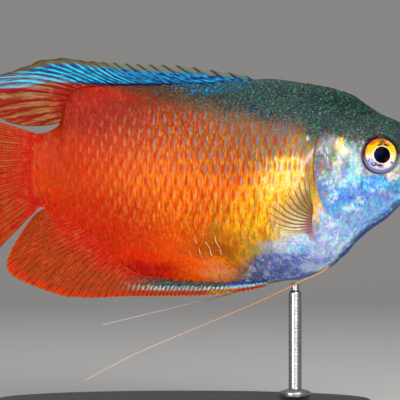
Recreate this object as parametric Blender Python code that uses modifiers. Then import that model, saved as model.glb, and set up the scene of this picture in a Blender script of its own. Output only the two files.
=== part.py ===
"""A male dwarf gourami at life size, swimming level, on a plain display stand.

The fish faces +X and its back points to +Z. Its body is described in shares of the
standard length: "along" runs back from the snout, "up" rises from the mouth's level,
and "side" is a distance from the middle plane, in metres.
"""

import math

import bmesh
import bpy
import numpy as np
from mathutils import Matrix, Vector

MM = 0.001

# Driving dimensions
STANDARD_LENGTH = 60 * MM
GAP = 0.3 * MM
BASE_SIZE = (58 * MM, 30 * MM, 4 * MM)
TIP_CLEARANCE = 3.0 * MM

# Shares of the standard length that place the fish over its stand
TAIL_FIN_TIP = 1.253
FILAMENT_TIP = (0.877, -0.542)
SNOUT_X = TAIL_FIN_TIP * STANDARD_LENGTH / 2
MOUTH_Z = BASE_SIZE[2] + TIP_CLEARANCE - FILAMENT_TIP[1] * STANDARD_LENGTH

# Outline of the body, seen from its side: along, up
BACK_LINE = (
    (0.000, 0.000), (0.006, 0.024), (0.014, 0.046), (0.033, 0.075), (0.072, 0.114),
    (0.120, 0.136),
    (0.151, 0.156), (0.197, 0.187), (0.243, 0.202), (0.320, 0.217), (0.414, 0.228),
    (0.483, 0.221), (0.673, 0.217), (0.813, 0.215), (0.870, 0.212), (0.910, 0.201),
    (0.928, 0.179), (0.936, 0.154), (0.941, 0.115), (0.957, 0.100), (0.980, 0.090),
    (1.000, 0.087),
)
BELLY_LINE = (
    (0.000, -0.013), (0.008, -0.034), (0.020, -0.050), (0.072, -0.102), (0.107, -0.136),
    (0.141, -0.159),
    (0.174, -0.187), (0.217, -0.230), (0.248, -0.256), (0.302, -0.281), (0.340, -0.291),
    (0.396, -0.293), (0.494, -0.297), (0.647, -0.293), (0.724, -0.287), (0.775, -0.263),
    (0.818, -0.225), (0.857, -0.187), (0.900, -0.158), (0.944, -0.130), (0.974, -0.110),
    (1.000, -0.100),
)
# Half of the body's thickness, and how soon its sides close in above and below
HALF_WIDTHS = (
    (0.000, 0.008), (0.008, 0.023), (0.020, 0.033), (0.060, 0.049), (0.120, 0.066), (0.200, 0.083),
    (0.290, 0.092), (0.400, 0.089), (0.550, 0.077), (0.700, 0.060), (0.830, 0.042),
    (0.930, 0.027), (1.000, 0.014),
)
FULLNESS = ((0.0, 0.50), (0.3, 0.56), (0.6, 0.70), (1.0, 0.80))
CREST_HALF_WIDTH = 0.5 * MM

# Rear edge of the head, down the gill opening: along, up
GILL_EDGE = (
    (0.330, 0.280), (0.312, 0.217), (0.288, 0.150), (0.281, 0.090), (0.291, 0.050),
    (0.297, 0.005), (0.294, -0.033), (0.286, -0.072), (0.270, -0.102), (0.243, -0.141),
    (0.223, -0.187), (0.212, -0.228), (0.204, -0.290),
)
GILL_FLARE = 0.35 * MM
GILL_SLIT = 0.4 * MM
TAIL_ROOT = 0.872
# Corners of the cutters that part the head from the torso, clear of the fish
AHEAD_ABOVE = (-0.15, 0.35)
AHEAD_BELOW = (-0.15, -0.35)
CUTTER_HALF_DEPTH = 12 * MM

# Eye
EYE_PLACE = (0.120, 0.031)
EYE_RADIUS = 2.85 * MM
PUPIL_RADIUS = 1.2 * MM
EYE_DEPTH = 1.9 * MM
EYE_STAND_OUT = 0.75 * MM
EYE_WAIST = -0.35 * MM
ORBIT_RIM_RADIUS = 0.42 * MM

# Mouth: the gape runs from the tip of the snout down and back to its corners
GAPE_TIP = (0.016, 0.002)
GAPE_CORNER = (0.056, -0.028)
GAPE_HALF_WIDTH = 2.1 * MM
LIP_RADIUS = 0.62 * MM
NOSTRILS = ((0.048, 0.052, 0.36 * MM), (0.068, 0.074, 0.44 * MM))

# Fins: margins run from the first ray's tip to the last ray's tip, as along, up
DORSAL_ROOT = (0.434, 0.941)
DORSAL_MARGIN = (
    (0.462, 0.233), (0.536, 0.246), (0.591, 0.254), (0.647, 0.261), (0.754, 0.264),
    (0.813, 0.268), (0.877, 0.272), (0.930, 0.279), (0.987, 0.274), (1.040, 0.254),
    (1.095, 0.235), (1.150, 0.212), (1.192, 0.178), (1.150, 0.140), (1.095, 0.122),
    (1.040, 0.105), (0.997, 0.104), (0.967, 0.107),
)
DORSAL_RAYS = 25
# Where each ray stands: share of all rays, share of the root line, share of the margin
DORSAL_SPREAD = (
    (0.00, 0.00, 0.00), (0.18, 0.21, 0.195), (0.37, 0.44, 0.34), (0.50, 0.59, 0.43),
    (0.61, 0.725, 0.57), (0.71, 0.805, 0.685), (0.79, 0.86, 0.76), (0.88, 0.92, 0.85),
    (1.00, 1.00, 1.00),
)
ANAL_ROOT = (0.402, 0.974)
ANAL_MARGIN = (
    (0.416, -0.306), (0.450, -0.314), (0.506, -0.323), (0.560, -0.329), (0.647, -0.331),
    (0.754, -0.331), (0.857, -0.335), (0.921, -0.333), (0.964, -0.322), (1.013, -0.304),
    (1.056, -0.284), (1.075, -0.268), (1.079, -0.247), (1.069, -0.217), (1.051, -0.184),
    (1.023, -0.143), (1.006, -0.122),
)
ANAL_RAYS = 31
ANAL_SPREAD = (
    (0.00, 0.00, 0.00), (0.29, 0.29, 0.245), (0.50, 0.50, 0.42), (0.60, 0.60, 0.53),
    (0.69, 0.69, 0.65), (0.78, 0.78, 0.77), (0.86, 0.86, 0.85), (0.93, 0.93, 0.92),
    (1.00, 1.00, 1.00),
)
TAIL_MARGIN = (
    (1.195, 0.146), (1.222, 0.110), (1.240, 0.060), (1.250, 0.010), (1.253, -0.040),
    (1.246, -0.095), (1.226, -0.150), (1.193, -0.205), (1.145, -0.258),
)
TAIL_RAYS = 17
PECTORAL_ROOT = ((0.300, -0.103), (0.311, -0.170))
PECTORAL_MARGIN = (
    (0.302, -0.020), (0.318, -0.032), (0.336, -0.046), (0.356, -0.060), (0.377, -0.072),
    (0.395, -0.088), (0.405, -0.113), (0.402, -0.141), (0.388, -0.166),
)
PECTORAL_RAYS = 11
PECTORAL_LIFT = 1.4 * MM
PECTORAL_RAY_HALF_WIDTH = 0.36 * MM
RAY_HALF_WIDTH = 0.45 * MM
WEB_HALF_WIDTH = 0.26 * MM
EDGE_HALF_WIDTH = 0.2 * MM

# Pelvic fins, each one long thread: along, up
NEAR_FILAMENT = (
    (0.262, -0.265), (0.317, -0.287), (0.368, -0.312), (0.423, -0.338), (0.517, -0.378),
    (0.581, -0.404), (0.647, -0.431), (0.755, -0.478), FILAMENT_TIP,
)
FAR_FILAMENT = (
    (0.262, -0.265), (0.340, -0.288), (0.430, -0.311), (0.527, -0.334), (0.647, -0.362),
    (0.755, -0.388), (0.839, -0.409),
)
FILAMENT_SIDE = (1.5 * MM, 4.5 * MM)
FILAMENT_RADII = (0.5 * MM, 0.26 * MM)

# Stand
ROD_ALONG = 0.340
ROD_RADIUS = 1.0 * MM
ROD_FOOT_RADIUS = 2.4 * MM
ROD_FOOT_HEIGHT = 0.8 * MM


def curve_through(points):
    """Return a smooth function through points, with no overshoot between them."""
    places, heights = np.array(points, float).T
    steps = np.diff(places)
    slopes = np.diff(heights) / steps
    tangents = np.zeros(len(places))
    tangents[0], tangents[-1] = slopes[0], slopes[-1]
    for i in range(1, len(places) - 1):
        before, after = slopes[i - 1], slopes[i]
        if before * after > 0:
            tangents[i] = 2 * before * after / (before + after)

    def value(place):
        place = min(max(place, places[0]), places[-1])
        i = min(int(np.searchsorted(places, place, side="right")) - 1, len(steps) - 1)
        t = (place - places[i]) / steps[i]
        return float(
            (1 + 2 * t) * (1 - t) ** 2 * heights[i]
            + t * t * (3 - 2 * t) * heights[i + 1]
            + t * (1 - t) ** 2 * steps[i] * tangents[i]
            - t * t * (1 - t) * steps[i] * tangents[i + 1]
        )

    return value


def path_through(points):
    """Return a smooth function from 0..1 to a place on a path through points."""
    points = np.array(points, float)
    lengths = np.linalg.norm(np.diff(points, axis=0), axis=1)
    shares = np.concatenate(([0.0], np.cumsum(lengths))) / lengths.sum()
    axes = [curve_through(list(zip(shares, column))) for column in points.T]
    return lambda share: tuple(axis(share) for axis in axes)


back = curve_through(BACK_LINE)
belly = curve_through(BELLY_LINE)
half_width = curve_through(HALF_WIDTHS)
fullness = curve_through(FULLNESS)


def place(along, up, side=0.0):
    """World position of a point given in shares of the standard length."""
    return Vector((SNOUT_X - along * STANDARD_LENGTH, side, MOUTH_Z + up * STANDARD_LENGTH))


def flank(along, up):
    """Distance from the middle plane to the body's surface."""
    top, bottom = back(along), belly(along)
    level = (2 * up - top - bottom) / (top - bottom)
    reach = max(1 - level * level, 0.0) ** fullness(along)
    return CREST_HALF_WIDTH + (half_width(along) * STANDARD_LENGTH - CREST_HALF_WIDTH) * reach


def underside(along, side):
    """Level of the body's underside at a distance from the middle plane."""
    top, bottom = back(along), belly(along)
    reach = (side - CREST_HALF_WIDTH) / (half_width(along) * STANDARD_LENGTH - CREST_HALF_WIDTH)
    level = math.sqrt(1 - min(max(reach, 0.0), 1.0) ** (1 / fullness(along)))
    return (top + bottom) / 2 - level * (top - bottom) / 2


def clear_scene():
    for item in list(bpy.data.objects):
        bpy.data.objects.remove(item, do_unlink=True)


def finish(name, colour, roughness, metallic=0.0):
    """A plain Principled material."""
    material = bpy.data.materials.new(name)
    material.use_nodes = True
    shader = material.node_tree.nodes["Principled BSDF"]
    shader.inputs["Base Color"].default_value = (*colour, 1.0)
    shader.inputs["Roughness"].default_value = roughness
    shader.inputs["Metallic"].default_value = metallic
    return material


def add_object(name, mesh, collection, material=None):
    item = bpy.data.objects.new(name, mesh)
    collection.objects.link(item)
    if material:
        mesh.materials.clear()
        mesh.materials.append(material)
    return item


def mesh_from(name, points, faces):
    """A mesh with its faces turned outward."""
    mesh = bpy.data.meshes.new(name)
    mesh.from_pydata(points, [], faces)
    shape = bmesh.new()
    shape.from_mesh(mesh)
    bmesh.ops.recalc_face_normals(shape, faces=shape.faces)
    shape.to_mesh(mesh)
    shape.free()
    return mesh


def smooth(item, angle=40):
    item.data.shade_smooth()
    item.data.set_sharp_from_angle(angle=math.radians(angle))


def as_mesh(item):
    """Swap an object for the mesh that its curve or modifiers give."""
    bpy.context.view_layer.update()
    source = item.evaluated_get(bpy.context.evaluated_depsgraph_get())
    mesh = bpy.data.meshes.new_from_object(source)
    mesh.transform(item.matrix_world)
    shape = bmesh.new()
    shape.from_mesh(mesh)
    bmesh.ops.remove_doubles(shape, verts=shape.verts, dist=0.002 * MM)
    shape.to_mesh(mesh)
    shape.free()
    name, home = item.name, item.users_collection[0]
    bpy.data.objects.remove(item, do_unlink=True)
    return add_object(name, mesh, home)


def combine(item, others, operation):
    """Apply one Boolean with all of the others, then remove them."""
    group = bpy.data.collections.new("tools for " + item.name)
    bpy.context.scene.collection.children.link(group)
    for other in others:
        for home in list(other.users_collection):
            home.objects.unlink(other)
        group.objects.link(other)
    boolean = item.modifiers.new("Boolean", "BOOLEAN")
    boolean.operation = operation
    boolean.solver = "EXACT"
    boolean.operand_type = "COLLECTION"
    boolean.collection = group
    bpy.context.view_layer.update()
    source = item.evaluated_get(bpy.context.evaluated_depsgraph_get())
    mesh = bpy.data.meshes.new_from_object(source)
    item.modifiers.clear()
    item.data = mesh
    for other in others:
        bpy.data.objects.remove(other, do_unlink=True)
    bpy.data.collections.remove(group)
    keep_largest(item)


def keep_largest(item):
    """Keep only the largest closed surface of a mesh."""
    shape = bmesh.new()
    shape.from_mesh(item.data)
    left, shells = set(shape.verts), []
    while left:
        start = left.pop()
        shell, edge = {start}, [start]
        while edge:
            vertex = edge.pop()
            for link in vertex.link_edges:
                other = link.other_vert(vertex)
                if other in left:
                    left.remove(other)
                    shell.add(other)
                    edge.append(other)
        shells.append(shell)
    shells.sort(key=len, reverse=True)
    for shell in shells[1:]:
        bmesh.ops.delete(shape, geom=list(shell), context="VERTS")
    shape.to_mesh(item.data)
    shape.free()


def body_section(along, steps, flare):
    """One ring of the body, with a narrow flat along its back and its keel."""
    top, bottom = back(along), belly(along)
    ring = []
    for i in range(steps + 1):
        level = math.sin(math.pi * (i / steps - 0.5))
        up = (top + bottom) / 2 + level * (top - bottom) / 2
        ring.append((up, flank(along, up) + flare(along, up)))
    sides = [place(along, up, side) for up, side in ring]
    return sides + [place(along, up, -side) for up, side in reversed(ring)]


def no_flare(along, up):
    return 0.0


def gill_flare(along, up):
    """The gill cover stands a little proud towards its rear edge."""
    rise = min(max((along - 0.20) / 0.08, 0.0), 1.0)
    level = min(max((0.16 - abs(up + 0.06)) / 0.08, 0.0), 1.0)
    return GILL_FLARE * rise * rise * level


def body_length(name, stations, steps, flare=no_flare):
    """A closed length of the body, lofted through its sections."""
    points, faces = [], []
    for along in stations:
        points += body_section(along, steps, flare)
    size = 2 * (steps + 1)
    for row in range(len(stations) - 1):
        for i in range(size):
            a, b = row * size + i, row * size + (i + 1) % size
            faces.append((a, b, b + size, a + size))
    faces.append(tuple(range(size)))
    faces.append(tuple(range(len(points) - size, len(points))))
    return mesh_from(name, points, faces)


def slab(name, outline, half_depth, collection):
    """A flat outline in the middle plane, thickened to both sides."""
    curve = bpy.data.curves.new(name, "CURVE")
    curve.dimensions = "2D"
    curve.fill_mode = "BOTH"
    curve.extrude = half_depth
    spline = curve.splines.new("POLY")
    spline.points.add(len(outline) - 1)
    for point, (along, up) in zip(spline.points, outline):
        spot = place(along, up)
        point.co = (spot.x, spot.z, 0.0, 1.0)
    spline.use_cyclic_u = True
    item = add_object(name, curve, collection)
    item.rotation_euler = (math.pi / 2, 0, 0)
    return as_mesh(item)


def tube(name, points, radii, collection, sides=2):
    """A tapering tube along points."""
    curve = bpy.data.curves.new(name, "CURVE")
    curve.dimensions = "3D"
    curve.bevel_depth = 1.0
    curve.bevel_resolution = sides
    curve.use_fill_caps = True
    spline = curve.splines.new("POLY")
    spline.points.add(len(points) - 1)
    for target, point, radius in zip(spline.points, points, radii):
        target.co = (*point, 1.0)
        target.radius = radius
    return as_mesh(add_object(name, curve, collection))


def turned(name, profile, spot, axis, segments, collection):
    """A shape turned about an axis through a spot: profile of radius, height."""
    mesh = bpy.data.meshes.new(name)
    points = [(radius, 0.0, height) for radius, height in profile]
    mesh.from_pydata(points, [(i, i + 1) for i in range(len(points) - 1)], [])
    item = add_object(name, mesh, collection)
    screw = item.modifiers.new("Screw", "SCREW")
    screw.steps = segments
    screw.render_steps = segments
    screw.use_merge_vertices = True
    screw.merge_threshold = 0.001 * MM
    item.location = spot
    item.rotation_euler = Vector((0, 0, 1)).rotation_difference(Vector(axis)).to_euler()
    return as_mesh(item)


def eye_back(room=0.0):
    """Section of the eye's hidden round back, with room around it."""
    rear = []
    for turn in (0, 22, 44, 66, 90):
        angle = math.radians(turn)
        depth = EYE_WAIST - (EYE_DEPTH + room) * math.sin(angle)
        rear.append(((EYE_RADIUS + room) * math.cos(angle), depth))
    rear[-1] = (0.0, rear[-1][1])
    return rear


def eye_profile():
    """Half of the eye's section: lens, iris and the hidden round back."""
    lens_step = 0.30 * MM
    front = [(0.0, EYE_STAND_OUT)]
    for share in (0.55, 0.92):
        front.append((PUPIL_RADIUS * share, EYE_STAND_OUT - 0.4 * lens_step * share ** 3))
    front.append((PUPIL_RADIUS * 1.08, EYE_STAND_OUT - lens_step))
    for share in (0.62, 0.82, 0.95):
        drop = lens_step * (1 + 1.4 * share ** 2)
        front.append((EYE_RADIUS * share, EYE_STAND_OUT - drop))
    return front + eye_back()


def socket_profile():
    """The cutter for an eye's socket: the eye's back, open to the outside."""
    mouth = 4 * MM
    return [(0.0, mouth), (EYE_RADIUS + GAP, mouth)] + eye_back(GAP)


def eye_frame(side):
    """Where an eye sits on the cheek, and the way that it looks."""
    along, up = EYE_PLACE
    step = 0.03
    surface = flank(along, up)
    forward = (surface - flank(along - step, up)) / (step * STANDARD_LENGTH)
    upward = (surface - flank(along, up + step)) / (step * STANDARD_LENGTH)
    axis = Vector((forward * 0.6, side, upward * 0.5)).normalized()
    return place(along, up, side * surface), axis


def lip_path(shift, count=9):
    """The gape's edge from corner to corner round the snout, moved across it by shift."""
    points = []
    across_gape = Vector((-0.6, 0, 0.8))
    for i in range(count):
        turn = math.pi * (i / (count - 1) - 0.5)
        share = 1 - math.cos(turn)
        along = GAPE_TIP[0] + (GAPE_CORNER[0] - GAPE_TIP[0]) * share
        up = GAPE_TIP[1] + (GAPE_CORNER[1] - GAPE_TIP[1]) * share
        spot = place(along, up, GAPE_HALF_WIDTH * math.sin(turn))
        fade = 0.35 + 0.65 * math.cos(turn)
        points.append(spot + across_gape * shift * fade)
    return points


def gape_cut(collection):
    """A thin slanting wedge that parts the lips."""
    run = Vector((GAPE_TIP[0] - GAPE_CORNER[0], GAPE_TIP[1] - GAPE_CORNER[1])).normalized()
    opening = Vector((-run.y, run.x)) * 0.008
    back_end = Vector(GAPE_CORNER) - run * 0.006
    front_end = Vector(GAPE_TIP) + run * 0.04
    outline = (back_end, front_end - opening, front_end + opening)
    return slab("gape cut", outline, GAPE_HALF_WIDTH + 1.5 * MM, collection)


def add_head(collection, tools, skin):
    stations = [0.0, 0.004] + list(np.linspace(0.01, 0.07, 7))
    stations += list(np.linspace(0.07, 0.36, 22))[1:]
    head = add_object("head", body_length("head", stations, 18, gill_flare), collection)
    extras = []
    for side, name in ((1, "upper lip"), (-1, "lower lip")):
        path = lip_path(side * 0.93 * LIP_RADIUS)
        radii = [LIP_RADIUS * (0.6 + 0.4 * math.sin(math.pi * i / 8)) for i in range(9)]
        extras.append(tube(name, path, radii, tools))
    for side in (-1, 1):
        spot, axis = eye_frame(side)
        bpy.ops.mesh.primitive_torus_add(
            major_radius=EYE_RADIUS + GAP + 0.6 * ORBIT_RIM_RADIUS,
            minor_radius=ORBIT_RIM_RADIUS,
            major_segments=28, minor_segments=8, location=spot - axis * 0.05 * MM,
            rotation=Vector((0, 0, 1)).rotation_difference(axis).to_euler())
        rim = bpy.context.object
        rim.name = "orbit rim"
        extras.append(as_mesh(rim))
    combine(head, extras, "UNION")
    cutters = [gape_cut(tools)]
    for side in (-1, 1):
        spot, axis = eye_frame(side)
        cutters.append(turned("socket", socket_profile(), spot, axis, 28, tools))
        for along, up, radius in NOSTRILS:
            bpy.ops.mesh.primitive_uv_sphere_add(
                segments=10, ring_count=6, radius=radius,
                location=place(along, up, side * flank(along, up)))
            cutters.append(as_mesh(bpy.context.object))
    combine(head, cutters, "DIFFERENCE")
    front = (AHEAD_ABOVE, *GILL_EDGE, AHEAD_BELOW)
    combine(head, [slab("head part", front, CUTTER_HALF_DEPTH, tools)], "INTERSECT")
    head.data.materials.clear()
    head.data.materials.append(skin)
    smooth(head)


def add_torso(collection, tools, skin):
    stations = list(np.linspace(0.16, 0.36, 10)) + list(np.linspace(0.36, TAIL_ROOT, 20))[1:]
    torso = add_object("torso", body_length("torso", stations, 13), collection)
    edge = tuple((along + GILL_SLIT / STANDARD_LENGTH, up) for along, up in GILL_EDGE)
    front = (AHEAD_ABOVE, *edge, AHEAD_BELOW)
    combine(torso, [slab("gill cut", front, CUTTER_HALF_DEPTH, tools)], "DIFFERENCE")
    torso.data.materials.clear()
    torso.data.materials.append(skin)
    smooth(torso)


def add_tail(collection, skin):
    start = TAIL_ROOT + GAP / STANDARD_LENGTH
    stations = list(np.linspace(start, 1.0, 10))
    tail = add_object("tail", body_length("tail", stations, 10), collection, skin)
    smooth(tail)


def ribbed_fin(name, root, tip, rays, rows, collection, material, middle, bow=0.0,
               notch=(0.03, 0.03), ray_half=RAY_HALF_WIDTH, web_half=WEB_HALF_WIDTH):
    """A closed membrane with a ridge along each ray, alike on both faces.

    notch is how far the margin dips between the first rays and between the last ones.
    """
    columns = 2 * rays - 1
    points = []
    for face in (1, -1):
        for c in range(columns):
            share = c / (columns - 1)
            foot, end = root(share), tip(share)
            on_ray = c % 2 == 0
            dip = notch[0] + (notch[1] - notch[0]) * share
            reach = 1.0 if on_ray else 1.0 - dip
            for r in range(rows):
                v = r / (rows - 1) * reach
                lean = bow * math.sin(math.pi * v)
                along = foot[0] + (end[0] - foot[0]) * v + lean * (end[1] - foot[1])
                up = foot[1] + (end[1] - foot[1]) * v - lean * (end[0] - foot[0])
                thick = ray_half if on_ray else web_half
                half = thick + (EDGE_HALF_WIDTH - thick) * v ** 1.4
                points.append(place(along, up, middle(along, up, v) + face * half))
    size = columns * rows
    triangles = []
    for c in range(columns - 1):
        for r in range(rows - 1):
            a = c * rows + r
            b, d, e = a + 1, a + rows, a + rows + 1
            triangles += [(a, b, e), (a, e, d)]
    faces = triangles + [tuple(i + size for i in reversed(face)) for face in triangles]
    rim = [c * rows for c in range(columns)]
    rim += [(columns - 1) * rows + r for r in range(1, rows)]
    rim += [c * rows + rows - 1 for c in range(columns - 2, -1, -1)]
    rim += [r for r in range(rows - 2, 0, -1)]
    for a, b in zip(rim, rim[1:] + rim[:1]):
        faces += [(a, b, b + size), (a, b + size, a + size)]
    fin = add_object(name, mesh_from(name, points, faces), collection, material)
    smooth(fin, 25)
    return fin


def spread_of(rows):
    """Two functions of a ray's share: its place on the root line and on the margin."""
    roots = curve_through([(share, root) for share, root, _ in rows])
    tips = curve_through([(share, tip) for share, _, tip in rows])
    return roots, tips


def add_median_fins(collection, web):
    """The back fin, the anal fin and the tail fin, all in the middle plane."""
    lift = GAP / STANDARD_LENGTH
    dorsal_margin = path_through(DORSAL_MARGIN)
    anal_margin = path_through(ANAL_MARGIN)
    tail_margin = path_through(TAIL_MARGIN)
    dorsal_path = path_through([(s, back(s)) for s in np.linspace(*DORSAL_ROOT, 60)])
    anal_path = path_through([(s, belly(s)) for s in np.linspace(*ANAL_ROOT, 60)])

    def level(along, up, v):
        return 0.0

    def beside(path, share, side):
        """A point a gap away from a path, above it for side 1 and below it for side -1."""
        along, up = path(share)
        ahead = path(max(share - 0.01, 0.0))
        after = path(min(share + 0.01, 1.0))
        run = Vector((after[0] - ahead[0], after[1] - ahead[1])).normalized()
        return along - run.y * lift * side, up + run.x * lift * side

    def tail_root(share):
        top, bottom = back(1.0) - 0.004, belly(1.0) + 0.004
        return 1.0 + lift, top + (bottom - top) * share

    spread, fan = spread_of(DORSAL_SPREAD)
    ribbed_fin("dorsal_fin", lambda share: beside(dorsal_path, spread(share), 1),
               lambda share: dorsal_margin(fan(share)), DORSAL_RAYS, 7, collection, web,
               level, bow=0.06, notch=(0.16, 0.0))
    spread_below, fan_below = spread_of(ANAL_SPREAD)
    ribbed_fin("anal_fin", lambda share: beside(anal_path, spread_below(share), -1),
               lambda share: anal_margin(fan_below(share)), ANAL_RAYS, 7, collection, web,
               level, bow=-0.05, notch=(0.12, 0.005))
    ribbed_fin("caudal_fin", tail_root, tail_margin, TAIL_RAYS, 9, collection, web,
               level, notch=(0.02, 0.02))


def add_pectoral_fins(collection, web):
    """A thin fan on each flank, just behind the gill cover."""
    margin = path_through(PECTORAL_MARGIN)
    top, bottom = PECTORAL_ROOT

    def root(share):
        return top[0] + (bottom[0] - top[0]) * share, top[1] + (bottom[1] - top[1]) * share

    for name, side in (("pectoral_fin_R", -1), ("pectoral_fin_L", 1)):

        def middle(along, up, v, side=side):
            clear = flank(along, up) + GAP + PECTORAL_RAY_HALF_WIDTH
            return side * (clear + PECTORAL_LIFT * v ** 1.2)

        ribbed_fin(name, root, margin, PECTORAL_RAYS, 7, collection, web, middle,
                   bow=0.10, ray_half=PECTORAL_RAY_HALF_WIDTH, web_half=0.25 * MM)


def add_filaments(collection, thread):
    """The two pelvic fins, each a single long thread under the belly."""
    for name, route, side in (("pelvic_filament_R", NEAR_FILAMENT, -1),
                              ("pelvic_filament_L", FAR_FILAMENT, 1)):
        path = path_through(route)
        count = 20
        points, radii = [], []
        for i in range(count):
            share = i / (count - 1)
            along, up = path(share)
            radius = FILAMENT_RADII[0] + (FILAMENT_RADII[1] - FILAMENT_RADII[0]) * share ** 0.6
            out = FILAMENT_SIDE[0] + (FILAMENT_SIDE[1] - FILAMENT_SIDE[0]) * share
            if along < ANAL_ROOT[0]:
                keel = underside(along, max(out - radius, 0.0))
                up = min(up, keel - (GAP + radius) / STANDARD_LENGTH)
            points.append(place(along, up, side * out))
            radii.append(radius)
        thread_item = tube(name, points, radii, collection)
        thread_item.data.materials.append(thread)
        smooth(thread_item)


def add_eyes(collection, ball):
    for name, side in (("eye_R", -1), ("eye_L", 1)):
        spot, axis = eye_frame(side)
        eye = turned(name, eye_profile(), spot, axis, 28, collection)
        eye.data.materials.append(ball)
        smooth(eye)


def add_stand(collection, base_finish, rod_finish):
    """An oval base and one rod that ends under the keel, ahead of the anal fin."""
    length, width, depth = BASE_SIZE
    bpy.ops.mesh.primitive_cylinder_add(vertices=44, radius=0.5, depth=1.0)
    base = bpy.context.object
    base.name = "stand_base"
    base.data.transform(Matrix.Diagonal((length, width, depth, 1)))
    base.location = (0, 0, depth / 2)
    for home in list(base.users_collection):
        home.objects.unlink(base)
    collection.objects.link(base)
    bevel = base.modifiers.new("Bevel", "BEVEL")
    bevel.width = 0.6 * MM
    bevel.segments = 2
    bevel.limit_method = "ANGLE"
    base.data.materials.clear()
    base.data.materials.append(base_finish)
    smooth(base)

    reach = ROD_RADIUS / STANDARD_LENGTH
    keel = min(belly(ROD_ALONG - reach), belly(ROD_ALONG), belly(ROD_ALONG + reach))
    top = place(ROD_ALONG, keel).z - GAP - depth - GAP
    foot = place(ROD_ALONG, 0).x
    edge = 0.2 * MM
    profile = [(0.0, top), (ROD_RADIUS - edge, top), (ROD_RADIUS, top - edge),
               (ROD_RADIUS, ROD_FOOT_HEIGHT + 2 * edge),
               (ROD_FOOT_RADIUS - edge, ROD_FOOT_HEIGHT),
               (ROD_FOOT_RADIUS, ROD_FOOT_HEIGHT - edge), (ROD_FOOT_RADIUS, 0.0), (0.0, 0.0)]
    rod = turned("stand_rod", profile, (foot, 0, depth + GAP), (0, 0, 1), 20, collection)
    rod.data.materials.append(rod_finish)
    smooth(rod)


def main():
    clear_scene()
    fish = bpy.data.collections.new("dwarf gourami")
    tools = bpy.data.collections.new("cutters")
    for group in (fish, tools):
        bpy.context.scene.collection.children.link(group)
    skin = finish("orange flank", (0.75, 0.16, 0.03), 0.35)
    face = finish("silver cheek", (0.42, 0.50, 0.66), 0.3)
    web = finish("red fin web", (0.60, 0.09, 0.02), 0.4)
    ball = finish("golden eye", (0.75, 0.55, 0.18), 0.1)
    thread = finish("orange thread", (0.80, 0.36, 0.14), 0.4)
    base_finish = finish("dark stand", (0.05, 0.05, 0.055), 0.45)
    rod_finish = finish("steel rod", (0.6, 0.6, 0.6), 0.3, 1.0)
    add_head(fish, tools, face)
    add_torso(fish, tools, skin)
    add_tail(fish, skin)
    add_eyes(fish, ball)
    add_median_fins(fish, web)
    add_pectoral_fins(fish, web)
    add_filaments(fish, thread)
    add_stand(fish, base_finish, rod_finish)


main()
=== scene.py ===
import math

import bpy
import numpy as np
from mathutils import Matrix, Vector


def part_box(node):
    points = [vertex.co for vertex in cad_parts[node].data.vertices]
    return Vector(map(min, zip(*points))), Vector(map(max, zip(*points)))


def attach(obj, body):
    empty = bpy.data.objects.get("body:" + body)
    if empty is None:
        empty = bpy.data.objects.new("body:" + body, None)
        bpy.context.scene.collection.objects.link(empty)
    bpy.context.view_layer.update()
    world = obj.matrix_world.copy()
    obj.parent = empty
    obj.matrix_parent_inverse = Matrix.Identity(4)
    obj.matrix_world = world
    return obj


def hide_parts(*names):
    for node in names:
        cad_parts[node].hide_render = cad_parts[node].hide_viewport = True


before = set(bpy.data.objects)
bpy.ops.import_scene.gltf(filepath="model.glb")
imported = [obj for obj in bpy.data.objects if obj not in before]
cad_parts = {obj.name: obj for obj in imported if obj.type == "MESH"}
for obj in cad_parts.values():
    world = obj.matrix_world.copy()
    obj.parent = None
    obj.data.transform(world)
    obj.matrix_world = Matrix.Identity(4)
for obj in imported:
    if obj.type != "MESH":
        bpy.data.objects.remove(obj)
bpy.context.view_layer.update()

bpy.ops.object.select_all(action="DESELECT")


# The skin: the flesh and hide of the whole fish as one closed piece, from the lips to
# the root of the tail. On the model it is cast resin, with the lips, nostrils, eye
# sockets and gill covers modelled in; the eyes, scales and fins are set on it.
mm = 0.001
fish_length = 60 * mm
snout_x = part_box("tail")[0].x + fish_length
mouth_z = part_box("torso")[1].z - 0.228 * fish_length
crest = 0.5 * mm

# The fish's outline in shares of its length: how far back, how far up from the mouth
back_line = (
    (0.000, 0.000), (0.006, 0.024), (0.014, 0.046), (0.033, 0.075), (0.072, 0.114),
    (0.120, 0.136), (0.151, 0.156), (0.197, 0.187), (0.243, 0.202), (0.320, 0.217),
    (0.414, 0.228), (0.483, 0.221), (0.673, 0.217), (0.813, 0.215), (0.870, 0.212),
    (0.910, 0.201), (0.928, 0.179), (0.936, 0.154), (0.941, 0.115), (0.957, 0.100),
    (0.980, 0.090), (1.000, 0.087),
)
belly_line = (
    (0.000, -0.013), (0.008, -0.034), (0.020, -0.050), (0.072, -0.102), (0.107, -0.136),
    (0.141, -0.159), (0.174, -0.187), (0.217, -0.230), (0.248, -0.256), (0.302, -0.281),
    (0.340, -0.291), (0.396, -0.293), (0.494, -0.297), (0.647, -0.293), (0.724, -0.287),
    (0.775, -0.263), (0.818, -0.225), (0.857, -0.187), (0.900, -0.158), (0.944, -0.130),
    (0.974, -0.110), (1.000, -0.100),
)
half_widths = (
    (0.000, 0.008), (0.008, 0.023), (0.020, 0.033), (0.060, 0.049), (0.120, 0.066),
    (0.200, 0.083), (0.290, 0.092), (0.400, 0.089), (0.550, 0.077), (0.700, 0.060),
    (0.830, 0.042), (0.930, 0.027), (1.000, 0.014),
)
# Rear edge of the gill cover: how far up, how far back
gill_edge_line = (
    (-0.290, 0.204), (-0.228, 0.212), (-0.187, 0.223), (-0.141, 0.243), (-0.102, 0.270),
    (-0.072, 0.286), (-0.033, 0.294), (0.005, 0.297), (0.050, 0.291), (0.090, 0.281),
    (0.150, 0.288), (0.217, 0.312), (0.280, 0.330),
)
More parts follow.
